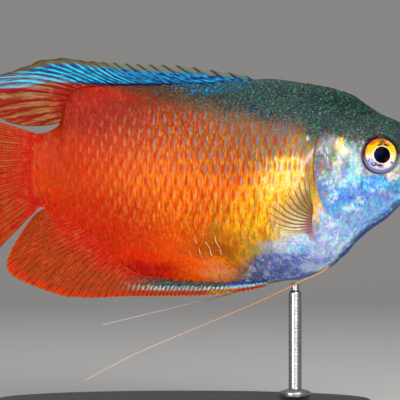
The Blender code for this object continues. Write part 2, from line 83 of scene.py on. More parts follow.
# Ridge of the bone before the gill cover, and the crease along the lower jaw
cheek_ridge_line = (
    (-0.135, 0.125), (-0.120, 0.160), (-0.090, 0.187), (-0.030, 0.203), (0.030, 0.203),
    (0.070, 0.192),
)
jaw_crease_line = (
    (0.030, -0.052), (0.072, -0.087), (0.135, -0.136), (0.164, -0.147), (0.190, -0.175),
    (0.205, -0.210),
)


def curve_through(points):
    """A smooth line through points, as a function of their first number."""
    place, height = np.array(points, float).T
    step = np.diff(place)
    slope = np.diff(height) / step
    lean = np.zeros(len(place))
    lean[0], lean[-1] = slope[0], slope[-1]
    alike = slope[:-1] * slope[1:] > 0
    total = np.where(alike, slope[:-1] + slope[1:], 1)
    lean[1:-1] = np.where(alike, 2 * slope[:-1] * slope[1:] / total, 0)

    def value(at):
        at = np.clip(at, place[0], place[-1])
        i = np.clip(np.searchsorted(place, at, side="right") - 1, 0, len(step) - 1)
        t = (at - place[i]) / step[i]
        return (
            (1 + 2 * t) * (1 - t) ** 2 * height[i]
            + t * t * (3 - 2 * t) * height[i + 1]
            + t * (1 - t) ** 2 * step[i] * lean[i]
            - t * t * (1 - t) * step[i] * lean[i + 1]
        )

    return value


def ease(value, start, end):
    """Rise smoothly from 0 at start to 1 at end."""
    t = np.clip((value - start) / (end - start), 0, 1)
    return t * t * (3 - 2 * t)


def hump(distance, width):
    """A bell-shaped rise, 1 at no distance and about a third at the width."""
    return np.exp(-(distance / width) ** 2)


back = curve_through(back_line)
belly = curve_through(belly_line)
half_width = curve_through(half_widths)
fullness = curve_through(((0.0, 0.50), (0.3, 0.56), (0.45, 0.68), (0.65, 0.88), (1.0, 1.0)))
crest_share = curve_through(((0.0, 1.0), (0.3, 1.0), (0.45, 0.4), (1.0, 0.3)))
gill_edge = curve_through(gill_edge_line)
cheek_ridge = curve_through(cheek_ridge_line)
jaw_crease = curve_through(jaw_crease_line)

eye_place = (0.1268, 0.0290)
eye_radius = 2.72 * mm
nostrils = ((0.048, 0.052, 0.30 * mm), (0.068, 0.074, 0.38 * mm))
gape_corner = (0.056, -0.028)
gape_run = (-0.8, 0.6)
cover_height, cover_groove = 0.40 * mm, 0.22 * mm
ridge_height, ridge_groove = 0.10 * mm, 0.14 * mm
orbit_height, socket_depth = 0.30 * mm, 1.2 * mm
nostril_rim, nostril_depth = 0.09 * mm, 0.45 * mm
lip_height, gape_depth = 0.36 * mm, 0.75 * mm
jaw_crease_depth, jaw_step = 0.20 * mm, 0.16 * mm
throat_plate_height = 0.12 * mm


def half_section(along, level):
    """Half of the body's thickness at a level from -1, the keel, to 1, the back."""
    room = np.clip(1 - level ** 2, 0, 1)
    keel = crest * crest_share(along)
    ridge = keel * (1 - np.exp(-60 * room))
    return ridge + (half_width(along) * fish_length - keel) * room ** fullness(along)


def head_relief(along, up):
    """How far the finished head stands out from the plain body, in metres."""
    ahead = gill_edge(up) - along
    slit = ease(up, -0.22, -0.06) * (1 - ease(up, 0.07, 0.11))
    cover = cover_height * ease(along, 0.18, 0.27) * (1 - ease(-ahead, 0.0, 0.006)) * slit
    cover = cover - cover_groove * hump(ahead + 0.009, 0.005) * slit

    ridge_off = along - cheek_ridge(up)
    ridge_part = ease(up, -0.13, -0.10) * (1 - ease(up, 0.03, 0.07))
    ridge = (ridge_height * hump(ridge_off + 0.010, 0.008)
             - ridge_groove * hump(ridge_off, 0.005)) * ridge_part

    eye_off = np.hypot(along - eye_place[0], up - eye_place[1]) * fish_length
    orbit = orbit_height * hump(eye_off - 3.35 * mm, 0.42 * mm)
    orbit = orbit - socket_depth * ease(-eye_off, -3.05 * mm, -2.75 * mm)

    pits = 0
    for pit_along, pit_up, pit_radius in nostrils:
        pit_off = np.hypot(along - pit_along, up - pit_up) * fish_length
        pits = pits + nostril_rim * hump(pit_off - 1.5 * pit_radius, 0.5 * pit_radius)
        pits = pits - nostril_depth * hump(pit_off, 0.8 * pit_radius)

    run_along, run_up = gape_run
    from_corner = (along - gape_corner[0]) * run_along + (up - gape_corner[1]) * run_up
    across = (along - gape_corner[0]) * run_up - (up - gape_corner[1]) * run_along
    across = across * fish_length
    lips = hump(across - 0.52 * mm, 0.40 * mm) + hump(across + 0.52 * mm, 0.40 * mm)
    mouth = lip_height * lips * ease(from_corner, -0.004, 0.014)
    mouth = mouth - gape_depth * hump(across, 0.17 * mm) * ease(from_corner, 0.0, 0.012)

    crease_off = (up - jaw_crease(along)) * fish_length
    crease_part = ease(along, 0.045, 0.075) * (1 - ease(along, 0.185, 0.205))
    jaw = -(jaw_crease_depth * hump(crease_off, 0.22 * mm)
            + jaw_step * ease(-crease_off, 0.0, 0.9 * mm)) * crease_part

    plate_off = np.hypot((along - 0.190) / 0.016, (up + 0.102) / 0.007)
    plate = throat_plate_height * (1 - ease(plate_off, 0.5, 1.3))
    return cover + ridge + orbit + pits + mouth + jaw + plate


def scale_bed(along, up):
    """Where the coat of scales lies: 1 on it, 0 off it."""
    flank = ease(along - gill_edge(up), 0.006, 0.012)
    nape = ease(up, 0.095, 0.110) * ease(along, 0.150, 0.165)
    return np.maximum(flank, nape)


def corners(item):
    """The places of a piece's corners, one row each."""
    found = np.empty(len(item.data.vertices) * 3)
    item.data.vertices.foreach_get("co", found)
    return found.reshape(-1, 3)


def move_corners(item, spots):
    """Put a piece's corners at new places."""
    item.data.vertices.foreach_set("co", np.ascontiguousarray(spots).ravel())
    item.data.update()


def in_place(along, up, side):
    """World positions of points given in shares of the fish's length, side in metres."""
    return np.stack([snout_x - along * fish_length, side, mouth_z + up * fish_length], -1)


def pick_up(item):
    """Make one piece the only chosen and active one."""
    bpy.ops.object.select_all(action="DESELECT")
    item.select_set(True)
    bpy.context.view_layer.objects.active = item


def close_up(item, join=0.0002 * mm):
    """Join doubled corners, turn the faces outward and shade them smooth."""
    pick_up(item)
    bpy.ops.object.mode_set(mode="EDIT")
    bpy.ops.mesh.select_all(action="SELECT")
    bpy.ops.mesh.remove_doubles(threshold=join)
    bpy.ops.mesh.normals_make_consistent(inside=False)
    bpy.ops.object.mode_set(mode="OBJECT")
    bpy.ops.object.shade_smooth()


rings_around = 240
tail_end = 1.028
tail_root_thinning = 0.82
bed_depth = 0.12 * mm
stations = np.concatenate([
    np.zeros(3), np.linspace(0.0, 0.06, 31), np.linspace(0.06, 0.34, 86)[1:],
    np.linspace(0.34, 1.0, 94)[1:], np.linspace(1.0, tail_end, 7)[1:], np.full(3, tail_end),
])
closing = np.ones(len(stations))
closing[:3] = (0.0, 0.4, 0.75)
closing[-3:] = (0.75, 0.4, 0.0)
bpy.ops.mesh.primitive_grid_add(
    x_subdivisions=len(stations) - 1, y_subdivisions=rings_around, size=2)
skin = bpy.context.object
skin.name = "skin"
sheet = corners(skin)
row = (sheet[:, 0] + 1) / 2 * (len(stations) - 1)
along = np.interp(row, np.arange(len(stations)), stations)
shrink = np.interp(row, np.arange(len(stations)), closing)
turn = math.pi * sheet[:, 1]
level = np.sin(turn)
middle = (back(along) + belly(along)) / 2
height = level * (back(along) - belly(along)) / 2
taper = 1 - tail_root_thinning * ease(along, 0.985, tail_end)
side = np.where(np.cos(turn) < 0, -1, 1) * half_section(along, level) * taper
move_corners(skin, in_place(along, middle + height * shrink, side * shrink))
close_up(skin)

spots = corners(skin)
outward = np.empty(len(spots) * 3)
skin.data.vertices.foreach_get("normal", outward)
outward = outward.reshape(-1, 3)
along = (snout_x - spots[:, 0]) / fish_length
up = (spots[:, 2] - mouth_z) / fish_length
lift = head_relief(along, up) - bed_depth * scale_bed(along, up)
move_corners(skin, spots + outward * lift[:, None])


def wire(value, node, socket):
    """Feed a value from one node into a socket of another."""
    tree.links.new(value, node.inputs[socket])


def put(kind, fill=(), **settings):
    """Add a node, set it, and fill its sockets with numbers, colours or links."""
    made = tree.nodes.new("ShaderNode" + kind)
    for name, value in settings.items():
        setattr(made, name, value)
    for key, value in dict(fill).items():
        if isinstance(value, bpy.types.NodeSocket):
            wire(value, made, key)
        else:
            made.inputs[key].default_value = value
    return made


def sums(operation, first, second=0.0, third=0.0):
    """One step of arithmetic on masks and measures."""
    return put("Math", {0: first, 1: second, 2: third}, operation=operation).outputs[0]


def scaled(value, factor, offset):
    """A value times a factor, plus an offset."""
    return sums("MULTIPLY_ADD", value, factor, offset)


def both(mask, *others):
    """Where all of several masks are at once."""
    for other in others:
        mask = sums("MULTIPLY", mask, other)
    return mask


def outside(mask):
    """Where a mask is not."""
    return sums("SUBTRACT", 1.0, mask)


def rise(value, start, end):
    """A mask that rises smoothly from 0 at start to 1 at end."""
    fill = {"Value": value, "From Min": start, "From Max": end}
    return put("MapRange", fill, interpolation_type="SMOOTHSTEP").outputs["Result"]


def paint(colour):
    """A colour given as on a paint chart, from 0 to 255, as light; a link stays a link."""
    if isinstance(colour, bpy.types.NodeSocket):
        return colour
    chart = np.array(colour) / 255
    light = np.where(chart > 0.04045, ((chart + 0.055) / 1.055) ** 2.4, chart / 12.92)
    return (*(float(part) for part in light), 1.0)


def mixed(amount, under, cover, blend):
    """Two colours mixed in one of the paint-box ways."""
    fill = {"Factor": amount, 6: paint(under), 7: paint(cover)}
    return put("Mix", fill, data_type="RGBA", blend_type=blend).outputs[2]


def over(mask, under, cover, strength=None):
    """Lay one colour over another where a mask says so, thinned by a strength below 1."""
    return mixed(mask if strength is None else both(mask, strength), under, cover, "MIX")


def stain(amount, under, flecks):
    """Lighten and darken a colour with flecks."""
    return mixed(amount, under, flecks, "OVERLAY")


def blob(along, up, spot, size, soft=(0.25, 1.3)):
    """A soft oval patch round a spot on the fish's side."""
    length = sums("DIVIDE", sums("SUBTRACT", along, spot[0]), size[0])
    height = sums("DIVIDE", sums("SUBTRACT", up, spot[1]), size[1])
    off = sums("ADD", both(length, length), both(height, height))
    return rise(off, soft[1], soft[0])


def drawn_line(value, points, lowest=-0.35, highest=0.35):
    """A line drawn through points, as a value that a mask can be set against."""
    node = put("FloatCurve", {"Value": value})
    line = node.mapping.curves[0]
    for number, (place, height) in enumerate(points):
        spot = (place, (height - lowest) / (highest - lowest))
        if number in (0, len(points) - 1):
            line.points[0 if number == 0 else len(line.points) - 1].location = spot
        else:
            line.points.new(*spot)
    node.mapping.update()
    return scaled(node.outputs[0], highest - lowest, lowest)


def chips(value, colours):
    """Pick one of several colours, in steps, by a value from 0 to 1."""
    ramp = put("ValToRGB", {"Fac": value})
    steps = ramp.color_ramp
    steps.interpolation = "CONSTANT"
    reached = 0.0
    for number, (share, colour) in enumerate(colours):
        stop = steps.elements[0] if number == 0 else steps.elements.new(reached)
        stop.position = reached
        stop.color = paint(colour)
        reached += share
    steps.elements.remove(steps.elements[-1])
    return ramp.outputs["Color"]


def new_group(name, outputs):
    """Start a shader group of colours, masks and heights; nodes put from now on are in it."""
    global tree
    tree = bpy.data.node_groups.new(name, "ShaderNodeTree")
    for kind, label in outputs:
        tree.interface.new_socket(label, in_out="OUTPUT", socket_type="NodeSocket" + kind)
    return tree.nodes.new("NodeGroupOutput")


def fish_shares():
    """How far back and how far up a point of the fish is, in shares of its length."""
    place = put("TexCoord").outputs["Object"]
    scale = 1 / fish_length
    shares = put("Mapping", {"Vector": place, "Location": (snout_x * scale, 0, -mouth_z * scale),
                             "Scale": (-scale, scale, scale)}).outputs[0]
    split = put("SeparateXYZ", {0: shares})
    return shares, split.outputs[0], split.outputs[2]


def grain_of(shares, fineness, stretch=(1, 1, 1)):
    """Random grains, as two numbers from 0 to 1 that differ from grain to grain."""
    place = put("Mapping", {"Vector": shares, "Scale": stretch}).outputs[0]
    cells = put("TexVoronoi", {"Vector": place, "Scale": fineness}).outputs["Color"]
    split = put("SeparateColor", {0: cells})
    return split.outputs[0], split.outputs[1]


def noise_of(place, fineness, detail):
    """Soft uneven noise from 0 to 1."""
    return put("TexNoise", {"Vector": place, "Scale": fineness, "Detail": detail}).outputs[0]


def mottle_of(shares, fineness, stretch=(1, 1, 1), detail=3):
    """Soft mottling of the fish, which can be drawn out along or up it."""
    place = put("Mapping", {"Vector": shares, "Scale": stretch}).outputs[0]
    return put("TexNoise", {"Vector": place, "Scale": fineness, "Detail": detail,
                            "Roughness": 0.6}).outputs[0]


def flecks_of(shares, fineness, contrast, stretch=(1, 1, 1), detail=2):
    """Small flecks of every hue, even in the mean, to be laid over a colour."""
    place = put("Mapping", {"Vector": shares, "Scale": stretch}).outputs[0]
    noise = put("TexNoise", {"Vector": place, "Scale": fineness, "Detail": detail, "Roughness": 0.7,
                             "Distortion": 0.4}).outputs["Color"]
    return put("BrightContrast", {"Color": noise, "Contrast": contrast}).outputs[0]


def patches(along, up, under, spots):
    """Soft patches of colour: place, half size, colour and strength of each."""
    for spot, size, hue, strength in spots:
        under = over(blob(along, up, spot, size, (0.1, 1.6)), under, hue, strength)
    return under


def washes(value, colours):
    """Blend through several colours by a value from 0 to 1."""
    ramp = put("ValToRGB", {"Fac": value})
    steps = ramp.color_ramp.elements
    for number, (place, colour) in enumerate(colours):
        stop = steps[number] if number < 2 else steps.new(place)
        stop.position = place
        stop.color = paint(colour)
    return ramp.outputs["Color"]


def flank_colours(shares, along, up):
    """Brick over flame orange over red, with a slanting yellow bar behind the gill cover."""
    height = scaled(up, 2.0, 0.6)
    colour = washes(height, (
        (0.06, (226, 62, 2)), (0.26, (208, 66, 0)), (0.4, (214, 78, 0)), (0.52, (228, 96, 0)),
        (0.6, (212, 88, 4)), (0.7, (178, 66, 12)), (0.8, (138, 44, 8)), (0.9, (108, 28, 4))))
    rear_hue = over(rise(up, 0.02, 0.12), (190, 40, 2), (150, 30, 4))
    colour = over(rise(along, 0.62, 0.88), colour, rear_hue, 0.8)
    low = both(rise(along, 0.66, 0.76), rise(up, -0.04, -0.1))
    colour = over(low, colour, (190, 34, 0), 0.75)

    slant = sums("ADD", along, up)
    dull = both(blob(along, up, (0.45, 0.055), (0.17, 0.085), (0.0, 1.5)), 0.85)
    colour = over(dull, colour, (132, 74, 28))
    colour = over(blob(along, up, (0.552, 0.004), (0.05, 0.035), (0.0, 1.5)), colour, (176, 84, 12),
                  0.6)
    yellow = both(rise(slant, 0.47, 0.375), rise(along, 0.6, 0.5))
    gold = over(rise(along, 0.4, 0.53), (250, 188, 24), (240, 138, 2))
    gold = over(blob(slant, along, (0.36, 0.37), (0.05, 0.06)), gold, (255, 216, 84))
    colour = over(yellow, colour, gold)
    colour = patches(along, up, colour, (
        ((0.345, -0.15), (0.055, 0.04), (244, 216, 132), 0.9),
        ((0.52, -0.19), (0.08, 0.035), (176, 84, 4), 0.6),
        ((0.445, -0.175), (0.05, 0.03), (206, 150, 44), 0.7),
        ((0.435, 0.045), (0.05, 0.045), (130, 92, 44), 0.7),
        ((0.86, 0.18), (0.11, 0.04), (164, 22, 6), 0.65),
        ((0.8, 0.12), (0.11, 0.045), (140, 18, 4), 0.6),
        ((0.69, -0.268), (0.23, 0.03), (172, 4, 4), 0.85),
        ((0.74, -0.225), (0.07, 0.02), (216, 34, 0), 0.6)))

    fold = scaled(along, -0.66, sums("ADD", up, 0.571))
    # Painted shadow: a soft brown line along the slanting fold between the flank and the belly.
    crease_shadow = both(blob(fold, along, (0.006, 0.5), (0.022, 0.08), (0.0, 1.5)), 0.65)
    colour = over(crease_shadow, colour, (140, 66, 12))
    bright = both(rise(fold, -0.012, -0.045), rise(along, 0.42, 0.47), rise(along, 0.68, 0.58))
    colour = over(bright, colour, over(rise(along, 0.6, 0.48), (236, 90, 6), (222, 140, 84)), 0.9)

    thin = mottle_of(shares, 250, (1, 1, 0.2))
    where = blob(along, up, (0.56, -0.02), (0.42, 0.18), (0.2, 1.5))
    light = both(rise(thin, 0.5, 0.64), both(where, rise(along, 0.86, 0.64)))
    colour = over(light, colour, (248, 168, 30), 0.5)
    shade = both(rise(thin, 0.47, 0.34), where)
    colour = over(shade, colour, (150, 40, 0), 0.5)
    rosy = both(rise(mottle_of(shares, 110, (1, 1, 0.5)), 0.46, 0.7), rise(along, 0.62, 0.78))
    colour = over(rosy, colour, (214, 92, 44), 0.3)
    stripes = both(rise(mottle_of(shares, 105, (1, 1, 0.1)), 0.48, 0.58),
                   blob(along, up, (0.46, -0.15), (0.15, 0.1), (0.2, 1.4)))
    colour = over(stripes, colour, (150, 92, 14), 0.62)
    # Painted highlights: cream and near-white flecks on the shoulder behind the gill cover.
    pale = both(rise(mottle_of(shares, 95, (1, 1, 0.35)), 0.5, 0.62),
                blob(along, up, (0.36, -0.02), (0.085, 0.1), (0.1, 1.5)))
    colour = over(pale, colour, (255, 228, 150), 0.75)
    pale = both(rise(mottle_of(shares, 120, (1, 1, 0.3)), 0.55, 0.64),
                blob(along, up, (0.355, 0.01), (0.06, 0.07), (0.1, 1.5)))
    colour = over(pale, colour, (252, 232, 216), 0.8)
    flecks = flecks_of(shares, 190, 2.0, (1, 1, 0.5))
    return stain(0.32, colour, flecks)


def cheek_colours(shares, along, up):
    """Silver, foil blue and bronze over the cheek, the gill cover and the jaw."""
    place = put("Mapping", {"Vector": shares, "Rotation": (0, -0.5, 0),
                            "Scale": (1.4, 1, 1)}).outputs[0]
    wisps = put("TexNoise", {"Vector": place, "Scale": 36, "Detail": 6, "Roughness": 0.78,
                             "Distortion": 0.3}).outputs[0]
    cheek = over(rise(up, -0.01, -0.045), (160, 172, 172), (98, 154, 206))
    cheek = over(rise(up, -0.1, -0.13), cheek, (124, 164, 206))
    cheek = patches(along, up, cheek, (
        ((0.273, 0.016), (0.036, 0.052), (128, 120, 118), 0.95),
        ((0.25, 0.08), (0.055, 0.016), (78, 88, 86), 0.8),
        ((0.29, 0.067), (0.014, 0.014), (140, 78, 48), 0.8),
        ((0.228, 0.055), (0.012, 0.024), (252, 186, 66), 0.95),
        ((0.216, 0.044), (0.01, 0.014), (240, 220, 170), 0.9),
        ((0.203, 0.066), (0.015, 0.02), (84, 160, 162), 0.9),
        ((0.187, 0.052), (0.012, 0.026), (88, 128, 126), 0.8),
        ((0.194, 0.0), (0.018, 0.04), (170, 214, 208), 0.9),
        ((0.238, -0.004), (0.014, 0.034), (224, 220, 204), 0.8),
        ((0.217, -0.004), (0.007, 0.028), (120, 150, 206), 0.8),
        ((0.29, -0.02), (0.011, 0.016), (140, 100, 170), 0.7),
        ((0.27, -0.064), (0.024, 0.03), (92, 138, 200), 0.8),
        ((0.215, -0.04), (0.032, 0.014), (160, 216, 226), 0.85),
        ((0.236, -0.064), (0.02, 0.013), (80, 182, 228), 0.9),
        ((0.222, -0.082), (0.026, 0.012), (66, 126, 210), 0.9),
        ((0.2, -0.106), (0.024, 0.013), (196, 226, 240), 0.85),
        ((0.14, -0.04), (0.042, 0.018), (84, 176, 228), 0.9),
        ((0.098, -0.026), (0.018, 0.01), (236, 226, 210), 0.8),
        ((0.157, -0.064), (0.026, 0.01), (84, 116, 206), 0.8),
        ((0.116, -0.078), (0.03, 0.018), (116, 140, 184), 0.8),
        ((0.29, -0.118), (0.014, 0.024), (216, 190, 140), 0.9),
        ((0.247, 0.04), (0.011, 0.036), (134, 134, 100), 0.85),
        ((0.292, 0.03), (0.01, 0.04), (116, 104, 112), 0.7),
        ((0.262, -0.034), (0.016, 0.02), (140, 196, 206), 0.7),
        ((0.166, 0.005), (0.012, 0.02), (110, 132, 150), 0.7),
        ((0.28, -0.086), (0.01, 0.01), (84, 110, 190), 0.7),
        ((0.088, -0.052), (0.02, 0.012), (92, 126, 176), 0.7),
        ((0.176, -0.084), (0.014, 0.012), (196, 206, 230), 0.7),
        ((0.27, -0.045), (0.017, 0.014), (92, 124, 186), 0.8),
        ((0.243, -0.046), (0.014, 0.012), (104, 160, 192), 0.7),
        ((0.243, -0.072), (0.012, 0.01), (200, 214, 236), 0.8),
        ((0.266, -0.07), (0.01, 0.012), (166, 184, 190), 0.7),
        ((0.252, -0.196), (0.026, 0.013), (84, 116, 160), 0.8)))
    flecks = flecks_of(shares, 110, 2.2, (1, 1, 0.8), 3)
    cheek = stain(scaled(rise(up, -0.13, -0.08), 0.25, 0.3), cheek, flecks)
    gleam = both(rise(wisps, 0.54, 0.66), 0.5)
    cheek = over(gleam, cheek, (240, 246, 246))
    murk = both(rise(wisps, 0.45, 0.33), 0.7)
    cheek = over(murk, cheek, over(rise(up, -0.045, -0.015), (24, 66, 160), (88, 76, 84)))
    lines = mottle_of(shares, 120, (1, 1, 0.2))
    shafts = both(blob(along, up, (0.215, 0.0), (0.05, 0.06)), rise(lines, 0.54, 0.64))
    cheek = over(shafts, cheek, (236, 240, 234), 0.3)
    cheek = patches(along, up, cheek, (
        ((0.216, 0.044), (0.024, 0.018), (246, 250, 240), 0.35),
        ((0.226, -0.01), (0.03, 0.022), (110, 150, 186), 0.45),
        ((0.276, -0.059), (0.026, 0.026), (92, 122, 162), 0.5),
        ((0.238, -0.16), (0.036, 0.022), (206, 222, 240), 0.25)))
    return over_throat(shares, along, up, cheek)


def over_throat(shares, along, up, under):
    """Painted shade on the lower edge of jaw and throat where they curve under, a bright foil
    stripe above.
    """
    outline = drawn_line(along, (
        (0.0, -0.013), (0.02, -0.05), (0.072, -0.102), (0.107, -0.136), (0.141, -0.159),
        (0.174, -0.187), (0.217, -0.23), (0.248, -0.256), (0.302, -0.281), (0.4, -0.293),
        (1.0, -0.34)))
    rim = sums("SUBTRACT", up, outline)
    ragged = scaled(mottle_of(shares, 70, detail=4), 0.018, sums("ADD", rim, -0.009))
    lowered = scaled(rise(along, 0.22, 0.26), 0.022, ragged)
    stripe = both(blob(lowered, along, (0.034, 0.18), (0.014, 0.12), (0.1, 1.5)), 0.85)
    under = over(stripe, under, over(rise(along, 0.16, 0.22), (120, 176, 226), (196, 228, 244)))
    # Painted shade: a dark blue band along the lower edge, where jaw and throat curve under.
    underside_shade = both(rise(ragged, 0.04, 0.006), rise(along, 0.265, 0.235))
    return over(underside_shade, under, over(rise(along, 0.12, 0.04), (30, 52, 126), (62, 68, 126)), 0.94)


def build_coat_colours():
    """Colours of the whole fish by place, for the skin and the scales alike."""
    out = new_group("coat colours", (("Color", "Color"), ("Float", "Marks"),
                                     ("Float", "Glitter"), ("Float", "Head")))
    shares, true_along, true_up = fish_shares()
    drift = scaled(mottle_of(shares, 16, detail=4), 0.05, -0.025)
    fray = scaled(mottle_of(shares, 90, detail=2), 0.022, -0.011)
    up = sums("ADD", sums("ADD", true_up, drift), fray)
    along = sums("SUBTRACT", true_along, sums("SUBTRACT", drift, fray))
    colour = flank_colours(shares, along, up)

    back_edge = drawn_line(along, (
        (0.0, -0.005), (0.05, 0.012), (0.085, 0.045), (0.12, 0.072), (0.165, 0.058),
        (0.205, 0.062), (0.245, 0.076), (0.3, 0.078), (0.34, 0.102), (0.455, 0.126),
        (0.583, 0.168), (0.711, 0.198), (0.839, 0.226), (1.0, 0.3)))
    above = sums("SUBTRACT", up, back_edge)
    dusk = both(rise(above, -0.095, -0.005), rise(along, 0.72, 0.5))
    colour = over(dusk, colour, (100, 84, 60), 0.85)
    olive = rise(above, -0.035, 0.02)
    colour = over(olive, colour, (88, 60, 34), 0.8)
    shade = over(rise(along, 0.45, 0.85), (48, 62, 60), (76, 34, 18))
    shade = over(both(rise(above, 0.03, 0.1), rise(along, 0.4, 0.22)), shade, (28, 46, 38))
    colour = over(rise(above, -0.03, 0.03), colour, shade)

    keel = drawn_line(along, (
        (0.0, -0.05), (0.2, -0.06), (0.26, -0.08), (0.29, -0.108), (0.32, -0.142), (0.36, -0.172),
        (0.4, -0.198), (0.425, -0.216), (0.45, -0.244), (0.475, -0.276), (0.52, -0.32),
        (1.0, -0.345)))
    wisp = mottle_of(shares, 70, (1, 1, 0.45), 4)
    below = scaled(wisp, 0.06, sums("SUBTRACT", keel, sums("ADD", up, 0.03)))
    soft = mottle_of(shares, 44, (1, 1, 0.8), 5)
    depth = scaled(soft, 0.05, sums("ADD", up, -0.025))
    depth = scaled(along, -0.12, sums("ADD", depth, 0.042))
    violet = over(rise(along, 0.37, 0.46), (96, 110, 170), (78, 78, 104))
    belly_hue = over(rise(depth, -0.18, -0.235), (186, 206, 230), violet)
    belly_hue = over(rise(soft, 0.5, 0.64), belly_hue, (184, 204, 232), 0.55)
    belly_hue = over(blob(along, up, (0.335, -0.21), (0.03, 0.016), (0.0, 1.4)), belly_hue,
                     (50, 150, 220), 0.6)
    front = both(rise(along, 0.3, 0.26), 0.65)
    foil = washes(soft, ((0.35, (84, 116, 180)), (0.5, (134, 172, 208)), (0.62, (214, 228, 240))))
    belly_hue = over(front, belly_hue, foil)
    belly_hue = over(blob(along, up, (0.292, -0.112), (0.014, 0.036)), belly_hue, (214, 180, 124))
    pick, bright = grain_of(shares, 230)
    speck = chips(pick, (
        (0.3, (236, 240, 250)), (0.25, (120, 200, 232)), (0.25, (150, 130, 190)),
        (0.2, (70, 110, 200))))
    belly_hue = over(rise(bright, 0.5, 0.6), belly_hue, speck, 0.15)
    belly_hue = stain(0.32, belly_hue, flecks_of(shares, 170, 2.4))
    mingle = both(rise(below, -0.05, 0.0), rise(along, 0.36, 0.42))
    colour = over(mingle, colour, (120, 84, 56), 0.75)
    colour = over(rise(below, -0.034, 0.03), colour, belly_hue)
    colour = patches(along, up, colour, (
        ((0.412, -0.208), (0.036, 0.022), (170, 178, 176), 0.4),
        ((0.51, -0.268), (0.055, 0.016), (214, 128, 70), 0.22),
        ((0.555, -0.266), (0.04, 0.012), (238, 164, 112), 0.16),
        ((0.47, -0.266), (0.022, 0.012), (134, 96, 70), 0.7),
        ((0.458, -0.212), (0.022, 0.02), (126, 112, 60), 0.6),
        ((0.5, -0.218), (0.03, 0.022), (140, 76, 28), 0.15),
        ((0.356, -0.158), (0.02, 0.012), (252, 236, 176), 0.7),
        ((0.352, -0.21), (0.022, 0.014), (190, 226, 248), 0.4),
        ((0.365, -0.263), (0.036, 0.012), (70, 80, 130), 0.7),
        ((0.293, -0.15), (0.016, 0.014), (150, 142, 140), 0.8),
        ((0.293, -0.176), (0.016, 0.014), (112, 112, 164), 0.7),
        ((0.286, -0.2), (0.024, 0.013), (92, 124, 190), 0.7),
        ((0.3, -0.252), (0.03, 0.013), (176, 190, 220), 0.7),
        ((0.322, 0.055), (0.02, 0.016), (116, 118, 92), 0.75),
        ((0.44, 0.075), (0.08, 0.034), (112, 84, 54), 0.38),
        ((0.385, 0.044), (0.046, 0.024), (120, 88, 50), 0.75),
        ((0.372, 0.092), (0.03, 0.016), (96, 100, 100), 0.5),
        ((0.33, 0.042), (0.022, 0.022), (112, 104, 84), 0.6),
        ((0.432, -0.009), (0.03, 0.02), (190, 120, 44), 0.4),
        ((0.575, -0.212), (0.075, 0.022), (136, 56, 14), 0.35),
        ((0.533, -0.16), (0.04, 0.022), (170, 100, 14), 0.3),
        ((0.765, 0.145), (0.08, 0.03), (120, 40, 18), 0.25),
        ((0.382, -0.21), (0.022, 0.016), (200, 210, 206), 0.4),
        ((0.33, -0.162), (0.02, 0.014), (250, 234, 180), 0.5),
        ((0.276, -0.21), (0.036, 0.03), (220, 230, 244), 0.25),
        ((0.93, 0.19), (0.05, 0.04), (126, 28, 12), 0.4),
        ((0.93, -0.01), (0.05, 0.06), (156, 34, 8), 0.3),
        ((0.303, -0.166), (0.013, 0.014), (150, 116, 150), 0.8),
        ((0.225, -0.262), (0.03, 0.014), (84, 106, 170), 0.7)))

    colour = over(rise(along, 0.3, 0.27), colour, over_throat(shares, along, true_up, colour))
    edge_points = [(0.5 + height, place) for height, place in gill_edge_line]
    edge = drawn_line(sums("ADD", true_up, 0.5), edge_points, 0.0, 0.5)
    to_edge = sums("SUBTRACT", edge, true_along)
    ragged = scaled(mottle_of(shares, 150, detail=3), 0.05, sums("ADD", above, -0.025))
    head = both(rise(to_edge, -0.002, 0.003), rise(ragged, 0.01, -0.008))
    colour = over(head, colour, cheek_colours(shares, along, up))
    slot = both(rise(true_up, -0.07, -0.03), rise(true_up, 0.075, 0.045))
    # Partly painted shadow, partly colour: an olive-brown band behind the gill cover for the shade
    # of the gill slit and the breast fin's upper rays, turning yellow at its lower end.
    gill_shadow_and_tint = blob(to_edge, true_up, (-0.014, -0.04), (0.013, 0.072), (0.2, 1.4))
    gill_shadow_and_tint_hue = washes(scaled(true_up, 4.0, 0.5), (
        (0.08, (232, 170, 62)), (0.2, (184, 156, 84)), (0.32, (138, 110, 54)),
        (0.5, (130, 102, 52)), (0.64, (150, 116, 76))))
    colour = over(gill_shadow_and_tint, colour, gill_shadow_and_tint_hue, 0.75)
    fold_off = scaled(true_up, -0.44, sums("ADD", to_edge, 0.024))
    pale_fold = blob(fold_off, true_up, (0.0, 0.022), (0.0055, 0.028), (0.2, 1.5))
    colour = over(pale_fold, colour, (212, 204, 230), 0.62)
    # Painted shade in the gill slit, along the edge of the gill cover.
    gill_slit_shade = both(blob(to_edge, to_edge, (-0.001, -0.001), (0.004, 0.004)), slot)
    colour = over(gill_slit_shade, colour, (74, 56, 60), 0.6)

